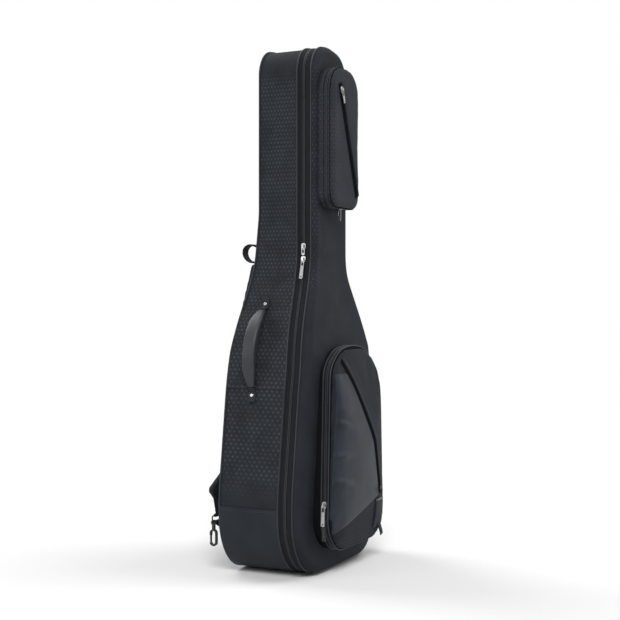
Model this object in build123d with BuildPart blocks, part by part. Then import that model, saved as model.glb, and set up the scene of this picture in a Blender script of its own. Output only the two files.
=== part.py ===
"""Padded gig bag for a full-size acoustic guitar, in millimetres.

The bag stands upright on its feet. X runs across the bag, the front faces -Y and Z points up.
The origin lies on the floor, under the middle of the bag's overall width and depth.
The walls follow one front outline and one side profile: each layer is the outline, drawn inwards
by an inset, crossed with a band of the side profile.
"""

from build123d import *
from math import atan2, cos, hypot, radians, sin, sqrt, tan
import os

os.makedirs("parts", exist_ok=True)

# ---- Front outline: corners of the right half, rounded by their radii -------------------------
foot_height = 6.0
foot_radius = 8.0
foot_chamfer = 1.0
foot_spread = 176.0
foot_row_gap = 47.0
foot_rows = 3
feet_y = 22.0
top_height = 1127.0
head_drop = 12.0
bottom_half_width = 150.0
corner_tuck = 3.0
corner_height = 80.0
bout_half_width = 211.0
bout_height = 165.0
shoulder_half_width = 168.0
shoulder_height = 470.0
neck_half_width = 83.0
neck_height = 642.0
bottom_radius = 100.0
corner_radius = 130.0
bout_radius = 400.0
shoulder_radius = 600.0
neck_radius = 180.0
head_radius = 60.0
crown_radius = 150.0

# ---- Side profile: depths of the body and the neck, and the heights between which they change --
back_body_y = 102.0
back_neck_y = 74.0
back_change = (470.0, 760.0)
zip_body_y = -38.0
zip_neck_y = -20.0
zip_change = (430.0, 634.0)
profile_radius = 300.0

# ---- Walls of the case and the lid -------------------------------------------------------------
back_thickness = 14.0
gusset_thickness = 12.0
lining_thickness = 2.0
guard_thickness = 1.8
guard_height = 147.0
piping_size = 3.5
lid_body_depth = 26.0
lid_neck_depth = 15.0
lid_dome = 12.0
lid_piping_stand = 1.0
spine_low = 203.0
spine_high = 376.0
spine_thickness = 2.5
running_gap = 0.3
cloth_gap = 0.4
spine_clearance = 1.0
most_of_run = 0.98

# ---- Zips --------------------------------------------------------------------------------------
main_band = 28.0
pocket_band = 16.0
tape_thickness = 1.5
tape_inset = 1.2
coil_thickness = 3.2
coil_width = 2.0
coil_gap = 1.8

# ---- Zip sliders and pulls ---------------------------------------------------------------------
slider_length = 14.0
slider_width = 10.0
plate_thickness = 1.4
bail_length = 8.0
bail_width = 3.0
bail_wall = 1.2
bail_hole = 2.4
crossbar_size = 1.4
crossbar_back = 1.6
slider_gap = 0.5
flange_width = 1.0
high_bail = 4.0
pull_arm = 1.6
pull_shoulder_radius = 2.0
window_length = 13.0
main_slider_upper_height = 691.0
main_slider_lower_height = 663.0
main_pull_upper_length = 17.0
main_pull_lower_length = 41.0
main_pull_lower_lean = 8.0
main_pull_width = 8.0
pocket_slider_front_height = 154.0
pocket_slider_rear_angle = 3.0
pocket_pull_length = 42.0
perimeter_pull_length = 24.0
slash_pull_length = 28.0
slash_pull_short = 17.0
small_pull_width = 6.5
slash_slider_lower_height = 158.0

# ---- Upper pocket ------------------------------------------------------------------------------
upper_half_width = 73.0
upper_drop = 48.0
upper_length = 304.0
upper_low_radius = 30.0
upper_high_radius = 48.0
upper_depth = 34.0
pocket_wall = 4.0
cover_thickness = 8.0
upper_slash_top_x = -39.0
upper_slash_bottom_x = 52.0
upper_slash_top_margin = 38.0
upper_slash_bottom_margin = 28.0
hinge_margin = 4.0
upper_flap_width = 22.0
slash_park = 14.0

# ---- Lower pocket ------------------------------------------------------------------------------
lower_low = 52.0
lower_high = 480.0
lower_low_half_width = 105.0
lower_corner_half_width = 150.0
lower_corner_height = 100.0
lower_shoulder_half_width = 116.0
lower_shoulder_height = 436.0
lower_arch_half_width = 64.0
lower_arch_drop = 9.0
lower_low_radius = 70.0
lower_corner_radius = 60.0
lower_shoulder_radius = 55.0
lower_arch_radius = 90.0
lower_crown_radius = 250.0
lower_zip_low_y = -114.0
lower_zip_high_y = -102.0
cover_low_y = -126.0
cover_crown_y = -143.5
cover_crown_height = 220.0
cover_high_y = -112.0
cover_side_drop = 17.0
cover_overrun = 20.0
lower_hinge_half_length = 70.0
lower_hinge_height = 15.0
lower_wall_root = 30.0
skin_margin = 7.0
leather_thickness = 1.2
flap_thickness = 2.6
lower_flap_width = 30.0
slash_zip_width = 12.0
slash_coil_width = 3.0
slash_coil_height = 1.4
lower_slash = [(-78.0, 450.0), (50.0, 268.0), (88.0, 150.0)]
leather_top = 422.0
leather_corner_shift = 14.0
leather_bottom = (-150.0, 92.0)
strap_left_x = 62.0
strap_right_x = 98.0
strap_top_z = 134.0
strap_bottom_z = 74.0
strap_bar_height = 4.0
strap_bar_overhang = 2.0
strap_bar_thickness = 3.0
strap_tail = [(84.0, 78.0), (98.0, 78.0), (112.0, 60.0), (102.0, 47.0)]

# ---- Side handle -------------------------------------------------------------------------------
handle_y = 37.0
handle_width = 28.0
handle_end_width = 16.0
handle_high = 567.0
handle_low = 377.0
handle_rise = 51.0
handle_grip = 18.0
handle_end = 14.0
handle_end_low = 7.0
handle_end_high = 14.0
handle_taper = 30.0
handle_taper_radius = 40.0
handle_panel_low = 390.0
handle_panel_high = 555.0
panel_thickness = 1.5
rivet_radius = 4.0
rivet_height = 2.0
rivet_rounding = 1.6
tab_height = 4.2
tab_flat = 6.4
tab_edge_radius = 1.0
tab_rise_radius = 4.0

# ---- Back: yoke, haul loop, shoulder straps and their rings --------------------------------------
yoke_low = 636.0
yoke_high = 712.0
yoke_half_width = 74.0
yoke_thickness = 1.8
loop_height = 676.0
loop_reach = 66.0
loop_half_height = 26.0
loop_thickness = 3.0
loop_root_radius = 3.2
loop_end_radius = 17.0
webbing_width = 25.0
webbing_thickness = 2.0
strap_thickness = 14.0
strap_top = 655.0
strap_swell = 10.0
strap_stand = 14.0
strap_end_stand = 30.0
strap_outer = [(-73.0, strap_top), (-98.0, 520.0), (-138.0, 300.0)]
strap_wing = [(-142.0, 206.0), (-192.0, 176.0), (-156.0, 146.0), (-118.0, 182.0)]
strap_inner = [(-88.0, 300.0), (-34.0, 520.0), (-15.0, strap_top)]
strap_top_run = 40.0
strap_upper_bend = 300.0
strap_lower_bend = 600.0
strap_wing_root_radius = 12.0
strap_tip_radius = 6.0
strap_notch_radius = 8.0
ring_x = 170.0
ring_y = 129.0
ring_high = 120.0
ring_low = 106.0
ring_half_width = 19.5
ring_bar = 1.5
webbing_x = 166.0
webbing_high = 174.0
webbing_sink = 9.5
anchor_low = 66.0
anchor_high = 92.0

# ---- Snap hooks ----------------------------------------------------------------------------------
hook_x = 183.5
hook_thickness = 6.0
hook_eye = 5.5
hook_shank = 14.0
hook_shank_width = 6.0
hook_height = 36.0
hook_half_width = 8.5
hook_wall = 4.0
gate_length = 20.0
gate_thickness = 3.4
gate_width = 3.0
gate_end = 5.0
gate_slot_margin = 0.5
pin_radius = 1.0
pin_fit = 0.05

# ---- Inside ----------------------------------------------------------------------------------------
cradle_low = 765.0
cradle_height = 35.0
cradle_front = 12.0
neck_groove = 32.0
neck_strap_half = 60.0
neck_strap_margin = 5.0
end_pad_high = 48.0
end_pad_front = -28.0
reach = 400.0
beyond = 60.0

# ---- Depth lines: y at the body, y at the neck and the heights of the change -----------------------
back_face = (back_body_y, back_neck_y, back_change)
zip_line = (zip_body_y, zip_neck_y, zip_change)


def shifted(line, by):
    """Return a depth line moved along Y."""
    body, neck, change = line
    return (body + by, neck + by, change)


back_inside = shifted(back_face, -back_thickness)
main_coil = shifted(zip_line, -main_band / 2)
lid_rear = shifted(zip_line, -main_band)
lid_front = (
    zip_body_y - main_band - lid_body_depth,
    zip_neck_y - main_band - lid_neck_depth,
    zip_change,
)


def fitted(points, radii):
    """Radii of a closed outline's corners, smaller where two arcs would overlap on their run."""
    count = len(points)
    corners = [Vector(*point) for point in points]
    runs = [corners[(index + 1) % count] - corner for index, corner in enumerate(corners)]
    tangents = [
        radius * tan(radians(before.get_angle(after) / 2))
        for radius, before, after in zip(radii, [runs[-1], *runs], runs)
    ]
    taken = [tangents[index] + tangents[(index + 1) % count] for index in range(count)]
    shares = [min(1.0, most_of_run * run.length / (ends or run.length)) for run, ends in zip(runs, taken)]
    return [radius * min(shares[index - 1], shares[index]) for index, radius in enumerate(radii)]


def rounded(points, radii):
    """Face of a closed outline with rounded corners."""
    with BuildSketch() as face:
        with BuildLine():
            FilletPolyline(*points, radius=fitted(points, radii), close=True)
        make_face()
    return face.sketch


def outline(inset=0.0):
    """Front outline of the bag, drawn inwards by the inset."""
    right = [
        (bottom_half_width, foot_height),
        (bout_half_width - corner_tuck, corner_height),
        (bout_half_width, bout_height),
        (shoulder_half_width, shoulder_height),
        (neck_half_width, neck_height),
        (neck_half_width, top_height - head_drop),
    ]
    radii = [bottom_radius, corner_radius, bout_radius, shoulder_radius, neck_radius, head_radius]
    left = [(-x, z) for x, z in reversed(right)]
    with BuildSketch() as face:
        add(rounded([*right, (0, top_height), *left], [*radii, crown_radius, *reversed(radii)]))
        if inset:
            offset(amount=-inset)
    return face.sketch


def depth_band(rear, front):
    """Side view of the layer between two depth lines."""
    low = -beyond
    high = top_height + beyond
    points = []
    for (body, neck, change), upwards in ((rear, True), (front, False)):
        line = [(body, low), (body, change[0]), (neck, change[1]), (neck, high)]
        points += line if upwards else line[::-1]
    return rounded(points, [0, profile_radius, profile_radius, 0] * 2)


def window(low, high):
    """Rectangle between two corners of the front view."""
    with BuildSketch() as face:
        Polygon(low, (high[0], low[1]), high, (low[0], high[1]), align=None)
    return face.sketch


def layer(rear, front, outer=0.0, inner=None, only=None, without=None):
    """One layer of the bag between two depth lines, a ring when it has an inner inset."""
    with BuildPart() as piece:
        with BuildSketch(Plane.XZ):
            add(outline(outer))
            if inner is not None:
                add(outline(inner), mode=Mode.SUBTRACT)
            if only is not None:
                add(only, mode=Mode.INTERSECT)
            if without is not None:
                add(without, mode=Mode.SUBTRACT)
        extrude(amount=reach, both=True)
        with BuildSketch(Plane.YZ):
            add(depth_band(rear, front))
        extrude(amount=reach, both=True, mode=Mode.INTERSECT)
    return piece.part


def keep(part, label):
    """Label a finished piece and write it."""
    part.label = label
    export_step(part, f"parts/{label}.step")


def depth_at(line, z):
    """Y of a depth line at a height, between its rounded corners."""
    body, neck, (low, high) = line
    share = min(max((z - low) / (high - low), 0.0), 1.0)
    return body + (neck - body) * share


spine_zone = window((0, spine_low), (reach, spine_high))
spine_gap = window((0, spine_low - spine_clearance), (reach, spine_high + spine_clearance))
guard_zone = window((-reach, 0), (reach, guard_height))
handle_zone = window((-reach, handle_panel_low), (0, handle_panel_high))

# ==== Case ==========================================================================================
with BuildPart() as back_panel:
    add(layer(back_face, back_inside))
keep(back_panel.part, "back_panel")

with BuildPart() as side_gusset:
    add(layer(back_inside, zip_line, 0, gusset_thickness))
keep(side_gusset.part, "side_gusset")

with BuildPart() as case_lining:
    lining_inset = gusset_thickness + lining_thickness
    add(layer(back_inside, zip_line, gusset_thickness, lining_inset))
    add(layer(back_inside, shifted(back_inside, -lining_thickness), lining_inset))
keep(case_lining.part, "case_lining")

with BuildPart() as base_guard:
    skin_rear = shifted(back_face, -piping_size)
    skin_front = shifted(zip_line, piping_size)
    add(layer(skin_rear, skin_front, -guard_thickness, 0, only=guard_zone))
keep(base_guard.part, "base_guard")

with BuildPart() as back_piping:
    add(layer(back_face, shifted(back_face, -piping_size), -piping_size, 0))
keep(back_piping.part, "back_piping")

with BuildPart() as gusset_piping:
    add(layer(shifted(zip_line, piping_size), zip_line, -piping_size, 0, without=spine_gap))
keep(gusset_piping.part, "gusset_piping")


def half_zip(coil_line, band, side):
    """Tape and coil of one half of a zip, on the rear (+1) or front (-1) side of the coil line."""
    inner_edge = shifted(coil_line, side * coil_gap / 2)
    coil_edge = shifted(inner_edge, side * coil_width)
    tape_edge = shifted(coil_line, side * band / 2)
    coil_inset = tape_inset + (tape_thickness - coil_thickness) / 2
    return [
        (tape_edge, coil_edge, tape_inset, tape_inset + tape_thickness),
        (coil_edge, inner_edge, coil_inset, coil_inset + coil_thickness),
    ]


def main_half(side):
    """Half of the main zip, open where the lid's spine is."""
    with BuildPart() as piece:
        for near, far, outer, inner in half_zip(main_coil, main_band, side):
            rear, front = (near, far) if side > 0 else (far, near)
            add(layer(rear, front, outer, inner, without=spine_gap))
    return piece.part


with BuildPart() as main_zip_case:
    add(main_half(1))
keep(main_zip_case.part, "main_zip_case")

with BuildPart() as base_feet:
    with BuildSketch(Plane((0, feet_y, 0))):
        with GridLocations(foot_spread, foot_row_gap, 2, foot_rows):
            Circle(foot_radius)
    extrude(amount=foot_height - guard_thickness)
    chamfer(base_feet.faces().sort_by(Axis.Z)[0].edges(), foot_chamfer)
keep(base_feet.part, "base_feet")

with BuildPart() as handle_panel:
    add(layer(skin_rear, skin_front, -panel_thickness, 0, only=handle_zone))
keep(handle_panel.part, "handle_panel")


# ---- Side handle: its own frame runs along the line between the rivets ------------------------------
def side_x(z):
    """Half width of the bag's straight sides at a height."""
    if z < shoulder_height:
        slope = (shoulder_half_width - bout_half_width) / (shoulder_height - bout_height)
        return bout_half_width + slope * (z - bout_height)
    slope = (neck_half_width - shoulder_half_width) / (neck_height - shoulder_height)
    return shoulder_half_width + slope * (z - shoulder_height)


rivet_low = Vector(-side_x(handle_low), handle_y, handle_low)
rivet_high = Vector(-side_x(handle_high), handle_y, handle_high)
handle_line = rivet_high - rivet_low
handle_span = handle_line.length
handle_plane = Plane(origin=rivet_low, x_dir=handle_line, z_dir=(0, -1, 0))


def handle_sketch(offset_y):
    """The handle's drawing plane, moved across the handle."""
    return handle_plane.offset(offset_y)


with BuildPart() as side_handle:
    with BuildSketch(handle_sketch(-handle_width / 2)):
        with BuildLine():
            crown = handle_span / 2
            far = handle_span - handle_end
            ThreePointArc((handle_end, handle_end_high), (crown, handle_rise), (far, handle_end_high))
            Line((far, handle_end_high), (far, handle_end_low))
            inside = (crown, handle_rise - handle_grip)
            ThreePointArc((far, handle_end_low), inside, (handle_end, handle_end_low))
            Line((handle_end, handle_end_low), (handle_end, handle_end_high))
        make_face()
    extrude(amount=handle_width)
    wide = handle_end + handle_taper
    half_outline = [
        (handle_end, handle_end_width / 2),
        (wide, handle_width / 2),
        (handle_span - wide, handle_width / 2),
        (far, handle_end_width / 2),
    ]
    with BuildSketch(Plane(origin=rivet_low, x_dir=handle_line, z_dir=Vector(0, -1, 0).cross(handle_line))):
        other_half = [(along, -across) for along, across in reversed(half_outline)]
        add(rounded([*half_outline, *other_half], [0, handle_taper_radius, handle_taper_radius, 0] * 2))
    extrude(amount=reach, both=True, mode=Mode.INTERSECT)
keep(side_handle.part, "side_handle")

outward = handle_plane.y_dir


def handle_tab(end, along):
    """Leather tab of the handle: riveted down at its end, it rises to meet the grip."""
    tab_face = handle_end - cloth_gap
    with BuildPart() as piece:
        with BuildSketch(handle_sketch(-handle_end_width / 2)):
            with BuildLine():
                FilletPolyline(
                    (end - along * handle_end, -handle_end),
                    (end - along * handle_end, tab_height),
                    (end + along * tab_flat, tab_height),
                    (end + along * tab_face, handle_end_high),
                    (end + along * tab_face, -handle_end),
                    radius=[0, tab_edge_radius, tab_rise_radius, 0, 0],
                    close=True,
                )
            make_face()
        extrude(amount=handle_end_width)
        add(layer(back_face, zip_line, -panel_thickness), mode=Mode.SUBTRACT)
    return piece.part


with BuildPart() as handle_tabs:
    add(handle_tab(0, 1))
    add(handle_tab(handle_span, -1))
keep(handle_tabs.part, "handle_tabs")

with BuildPart() as handle_rivets:
    for end in (rivet_low, rivet_high):
        with BuildSketch(Plane(origin=end + outward * tab_height, x_dir=handle_line, z_dir=outward)):
            Circle(rivet_radius)
    extrude(amount=rivet_height)
    rims = handle_rivets.edges().filter_by(GeomType.CIRCLE).group_by(Axis(rivet_low, outward))
    fillet(rims[-1], rivet_rounding)
keep(handle_rivets.part, "handle_rivets")

# ==== Lid ===========================================================================================
with BuildPart() as lid_panel:
    add(layer(lid_rear, lid_front))
    with BuildSketch(Plane.XY):
        with BuildLine():
            dome_edge = lid_front[0] + lid_dome
            dome_end = (bout_half_width, dome_edge)
            lid_arc = ThreePointArc((-bout_half_width, dome_edge), (0, lid_front[0]), dome_end)
            Polyline(lid_arc @ 1, (bout_half_width, 0), (-bout_half_width, 0), lid_arc @ 0)
        make_face()
    extrude(amount=top_height + beyond, mode=Mode.INTERSECT)
keep(lid_panel.part, "lid_panel")

with BuildPart() as lid_piping:
    piping_rear = shifted(lid_rear, -lid_piping_stand)
    add(layer(piping_rear, shifted(piping_rear, -piping_size), -piping_size, 0))
keep(lid_piping.part, "lid_piping")

with BuildPart() as lid_lining:
    add(layer(shifted(lid_rear, lining_thickness), lid_rear, tape_inset + tape_thickness + cloth_gap))
keep(lid_lining.part, "lid_lining")

with BuildPart() as main_zip_lid:
    add(main_half(-1))
keep(main_zip_lid.part, "main_zip_lid")

with BuildPart() as spine_strip:
    add(layer(shifted(zip_line, -cloth_gap), lid_rear, 0, spine_thickness, only=spine_zone))
keep(spine_strip.part, "spine_strip")


# ---- Upper pocket: a flat box on the neck of the lid ------------------------------------------------
upper_high = top_height - upper_drop
upper_low = upper_high - upper_length
upper_slash_top = (upper_slash_top_x, upper_high - upper_slash_top_margin)
upper_slash_bottom = (upper_slash_bottom_x, upper_low + upper_slash_bottom_margin)
upper_face_y = lid_front[1]
upper_front_y = upper_face_y - upper_depth
upper_cover_y = upper_front_y + cover_thickness
upper_coil_y = upper_cover_y + pocket_band / 2
upper_wall_y = upper_coil_y + pocket_band / 2


def upper_outline(inset=0.0):
    """Front outline of the upper pocket, drawn inwards by the inset."""
    corners = [
        (upper_half_width, upper_low),
        (upper_half_width, upper_high),
        (-upper_half_width, upper_high),
        (-upper_half_width, upper_low),
    ]
    with BuildSketch() as face:
        add(rounded(corners, [upper_low_radius, upper_high_radius, upper_high_radius, upper_low_radius]))
        if inset:
            offset(amount=-inset)
    return face.sketch


def upper_layer(rear, front, outer=0.0, inner=None, only=None, without=None):
    """One layer of the upper pocket between two depths, a ring when it has an inner inset."""
    with BuildPart() as piece:
        with BuildSketch(Plane.XZ.offset(-rear)):
            add(upper_outline(outer))
            if inner is not None:
                add(upper_outline(inner), mode=Mode.SUBTRACT)
            if only is not None:
                add(only, mode=Mode.INTERSECT)
            if without is not None:
                add(without, mode=Mode.SUBTRACT)
        extrude(amount=rear - front)
    return piece.part


coil_inset = tape_inset + (tape_thickness - coil_thickness) / 2
upper_hinge_low = upper_low + upper_low_radius + hinge_margin
upper_hinge_high = upper_high - upper_high_radius - hinge_margin
upper_hinge_inside = upper_half_width - 2 * pocket_wall
upper_hinge_zone = window((upper_hinge_inside, upper_hinge_low), (reach, upper_hinge_high))
upper_hinge_gap = window(
    (upper_hinge_inside, upper_hinge_low - cloth_gap), (reach, upper_hinge_high + cloth_gap)
)


def upper_half(side):
    """Half of the zip round the upper pocket, open at the sewn side."""
    inner_edge = upper_coil_y + side * coil_gap / 2
    coil_edge = inner_edge + side * coil_width
    tape_edge = upper_coil_y + side * pocket_band / 2
    with BuildPart() as piece:
        for edges, outer, thickness in (
            ((tape_edge, coil_edge), tape_inset, tape_thickness),
            ((coil_edge, inner_edge), coil_inset, coil_thickness),
        ):
            add(upper_layer(max(edges), min(edges), outer, outer + thickness, without=upper_hinge_gap))
    return piece.part


def upper_hinge(rear, front):
    """Sewn cloth side of the upper pocket between two depths."""
    return upper_layer(rear, front, 0, spine_thickness, only=upper_hinge_zone)


with BuildPart() as upper_pocket_wall:
    add(upper_layer(upper_face_y, upper_wall_y, 0, pocket_wall))
    add(upper_hinge(upper_wall_y, upper_coil_y + cloth_gap / 2))
keep(upper_pocket_wall.part, "upper_pocket_wall")

with BuildPart() as upper_wall_zip:
    add(upper_half(1))
keep(upper_wall_zip.part, "upper_wall_zip")

with BuildPart() as upper_pocket_zip:
    add(upper_half(-1))
keep(upper_pocket_zip.part, "upper_pocket_zip")

with BuildPart() as upper_pocket_cover:
    add(upper_layer(upper_cover_y, upper_front_y))
    fillet(upper_pocket_cover.faces().sort_by(Axis.Y)[0].edges(), cover_thickness / 2)
    add(upper_hinge(upper_coil_y - cloth_gap / 2, upper_cover_y))
keep(upper_pocket_cover.part, "upper_pocket_cover")


def beside(path, distance):
    """Points of a path that runs downwards, moved to its right as seen from the front."""
    moved = []
    for index, (x, z) in enumerate(path):
        before = path[max(index - 1, 0)]
        after = path[min(index + 1, len(path) - 1)]
        run = (after[0] - before[0], after[1] - before[1])
        length = hypot(*run)
        moved.append((x - run[1] / length * distance, z + run[0] / length * distance))
    return moved


def strip(path, left, right):
    """Corners of a strip along a path, from one side distance to the other."""
    return [*beside(path, left), *reversed(beside(path, right))]


upper_slash = [upper_slash_top, upper_slash_bottom]


def upper_slash_piece(left, right, thickness):
    """Flat strip sewn on the upper pocket's cover along its slanted opening."""
    with BuildPart() as piece:
        with BuildSketch(Plane.XZ.offset(-upper_front_y)):
            Polygon(*strip(upper_slash, left, right), align=None)
        extrude(amount=thickness)
    return piece.part


with BuildPart() as slash_zip_upper:
    add(upper_slash_piece(-slash_zip_width / 2, slash_zip_width / 2, tape_thickness))
    add(upper_slash_piece(-slash_coil_width / 2, slash_coil_width / 2, tape_thickness + slash_coil_height))
keep(slash_zip_upper.part, "slash_zip_upper")

with BuildPart() as slash_flap_upper:
    flap_start = slash_zip_width / 2
    add(upper_slash_piece(flap_start + cloth_gap, flap_start + upper_flap_width, flap_thickness))
keep(slash_flap_upper.part, "slash_flap_upper")


# ---- Lower pocket: deeper at its foot, with a padded, crowned cover ----------------------------------
def lower_outline(inset=0.0):
    """Front outline of the lower pocket, drawn inwards by the inset."""
    right = [
        (lower_low_half_width, lower_low),
        (lower_corner_half_width, lower_corner_height),
        (lower_shoulder_half_width, lower_shoulder_height),
        (lower_arch_half_width, lower_high - lower_arch_drop),
    ]
    left = [(-x, z) for x, z in reversed(right)]
    radii = [lower_low_radius, lower_corner_radius, lower_shoulder_radius, lower_arch_radius]
    with BuildSketch() as face:
        add(rounded([*right, (0, lower_high), *left], [*radii, lower_crown_radius, *reversed(radii)]))
        if inset:
            offset(amount=-inset)
    return face.sketch


def lower_coil_y(z):
    """Y of the lower pocket's zip at a height."""
    share = (z - lower_low) / (lower_high - lower_low)
    return lower_zip_low_y + (lower_zip_high_y - lower_zip_low_y) * share


def lower_layer(rear, front, outer=0.0, inner=None, only=None, without=None):
    """One layer of the lower pocket between two distances from its slanted zip."""
    low = lower_low - cover_overrun
    high = lower_high + cover_overrun
    with BuildPart() as piece:
        with BuildSketch(Plane.XZ):
            add(lower_outline(outer))
            if inner is not None:
                add(lower_outline(inner), mode=Mode.SUBTRACT)
            if only is not None:
                add(only, mode=Mode.INTERSECT)
            if without is not None:
                add(without, mode=Mode.SUBTRACT)
        extrude(amount=reach, both=True)
        with BuildSketch(Plane.YZ):
            Polygon(
                (lower_coil_y(low) + rear, low),
                (lower_coil_y(high) + rear, high),
                (lower_coil_y(high) + front, high),
                (lower_coil_y(low) + front, low),
                align=None,
            )
        extrude(amount=reach, both=True, mode=Mode.INTERSECT)
    return piece.part


def crowned(shape, rear, grow=0.0):
    """Solid of a front shape, from a distance behind the zip to the cover's crowned front."""
    low = lower_low - cover_overrun
    high = lower_high + cover_overrun
    with BuildPart() as piece:
        with BuildSketch(Plane.XZ):
            add(shape)
        extrude(amount=reach, both=True)
        with BuildSketch(Plane.YZ):
            with BuildLine():
                front = ThreePointArc(
                    (cover_low_y - grow, low),
                    (cover_crown_y - grow, cover_crown_height),
                    (cover_high_y - grow, high),
                )
                rear_high = (lower_coil_y(high) + rear, high)
                rear_low = (lower_coil_y(low) + rear, low)
                Polyline(front @ 1, rear_high, rear_low, front @ 0)
            make_face()
        extrude(amount=reach, both=True, mode=Mode.INTERSECT)
        with BuildSketch(Plane.XY):
            with BuildLine():
                side = lower_corner_half_width
                edge = cover_crown_y + cover_side_drop - grow
                across = ThreePointArc((-side, edge), (0, cover_crown_y - grow), (side, edge))
                Polyline(across @ 1, (side, 0), (-side, 0), across @ 0)
            make_face()
        extrude(amount=top_height, mode=Mode.INTERSECT)
    return piece.part


cloth_half = pocket_band / 2
lower_hinge_top = lower_low + lower_hinge_height
lower_hinge_zone = window((-lower_hinge_half_length, 0), (lower_hinge_half_length, lower_hinge_top))
lower_hinge_gap = window(
    (-lower_hinge_half_length - cloth_gap, 0), (lower_hinge_half_length + cloth_gap, lower_hinge_top)
)


def lower_half(side):
    """Half of the zip round the lower pocket, open at the sewn foot."""
    inner_edge = side * coil_gap / 2
    coil_edge = inner_edge + side * coil_width
    tape_edge = side * cloth_half
    with BuildPart() as piece:
        for edges, outer, thickness in (
            ((tape_edge, coil_edge), tape_inset, tape_thickness),
            ((coil_edge, inner_edge), coil_inset, coil_thickness),
        ):
            add(lower_layer(max(edges), min(edges), outer, outer + thickness, without=lower_hinge_gap))
    return piece.part


def lower_hinge(rear, front):
    """Sewn cloth foot of the lower pocket between two distances from the zip."""
    return lower_layer(rear, front, 0, spine_thickness, only=lower_hinge_zone)


with BuildPart() as lower_pocket_wall:
    add(lower_layer(lower_wall_root, cloth_half, 0, pocket_wall))
    add(lid_panel.part, mode=Mode.SUBTRACT)
    add(lower_hinge(cloth_half, cloth_gap / 2))
keep(lower_pocket_wall.part, "lower_pocket_wall")

with BuildPart() as lower_wall_zip:
    add(lower_half(1))
keep(lower_wall_zip.part, "lower_wall_zip")

with BuildPart() as lower_pocket_zip:
    add(lower_half(-1))
keep(lower_pocket_zip.part, "lower_pocket_zip")

cover_front = crowned(lower_outline(), -cloth_half)
with BuildPart() as lower_pocket_cover:
    add(cover_front)
    add(crowned(lower_outline(cover_thickness), cloth_half, -cover_thickness), mode=Mode.SUBTRACT)
    add(lower_hinge(-cloth_gap / 2, -cloth_half))
keep(lower_pocket_cover.part, "lower_pocket_cover")


def cover_skin(points, thickness, margin):
    """Flat piece sewn on the crowned cover: a polygon cut off at a margin from the cover's edge."""
    with BuildSketch() as shape:
        Polygon(*points, align=None)
        add(lower_outline(margin), mode=Mode.INTERSECT)
    with BuildPart() as piece:
        add(crowned(shape.sketch, 0, thickness))
        add(crowned(lower_outline(), cloth_half), mode=Mode.SUBTRACT)
    return piece.part


slash_half = slash_zip_width / 2
leather_edge = beside(lower_slash, -slash_half - cloth_gap)
leather_start = (leather_edge[0][0] + leather_corner_shift, leather_top)
with BuildPart() as leather_panel:
    leather_left = [leather_bottom, (-reach, leather_bottom[1]), (-reach, leather_top)]
    add(cover_skin([leather_start, *leather_edge[1:], *leather_left], leather_thickness, skin_margin))
keep(leather_panel.part, "leather_panel")

with BuildPart() as slash_zip_lower:
    add(cover_skin(strip(lower_slash, -slash_half, slash_half), tape_thickness, skin_margin))
    coil_half = slash_coil_width / 2
    slash_coil_top = tape_thickness + slash_coil_height
    add(cover_skin(strip(lower_slash, -coil_half, coil_half), slash_coil_top, skin_margin))
keep(slash_zip_lower.part, "slash_zip_lower")

with BuildPart() as slash_flap_lower:
    flap_points = strip(lower_slash, slash_half + cloth_gap, slash_half + lower_flap_width)
    add(cover_skin(flap_points, flap_thickness, skin_margin))
keep(slash_flap_lower.part, "slash_flap_lower")


front_arc = ThreePointArc(
    (cover_low_y, lower_low - cover_overrun),
    (cover_crown_y, cover_crown_height),
    (cover_high_y, lower_high + cover_overrun),
)
across_radius = (lower_corner_half_width**2 + cover_side_drop**2) / (2 * cover_side_drop)


def cover_y(x, z):
    """Y of the lower pocket's crowned front under a point of the front view."""
    centre = front_arc.arc_center
    along = centre.X - sqrt(front_arc.radius**2 - (z - centre.Y) ** 2)
    across = cover_crown_y + across_radius - sqrt(across_radius**2 - x**2)
    return max(along, across)


with BuildPart() as pocket_strap:
    strap_zone = [
        (strap_left_x, strap_bottom_z),
        (strap_right_x, strap_bottom_z),
        (strap_right_x, strap_top_z),
        (strap_left_x, strap_top_z),
    ]
    add(cover_skin(strap_zone, webbing_thickness, skin_margin))
    tail_front = cover_y(*strap_tail[0]) - webbing_thickness
    with BuildSketch(Plane.XZ.offset(-tail_front - webbing_thickness)):
        Polygon(*strap_tail, align=None)
    extrude(amount=webbing_thickness)
keep(pocket_strap.part, "pocket_strap")

with BuildPart() as pocket_strap_bar:
    bar_low = strap_top_z + running_gap
    bar_zone = [
        (strap_left_x - strap_bar_overhang, bar_low),
        (strap_right_x + strap_bar_overhang, bar_low),
        (strap_right_x + strap_bar_overhang, bar_low + strap_bar_height),
        (strap_left_x - strap_bar_overhang, bar_low + strap_bar_height),
    ]
    add(cover_skin(bar_zone, strap_bar_thickness, skin_margin))
keep(pocket_strap_bar.part, "pocket_strap_bar")


# ==== Zip sliders and their pulls ====================================================================
coil_top = coil_thickness / 2 + slider_gap
plate_top = coil_top + plate_thickness


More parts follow.
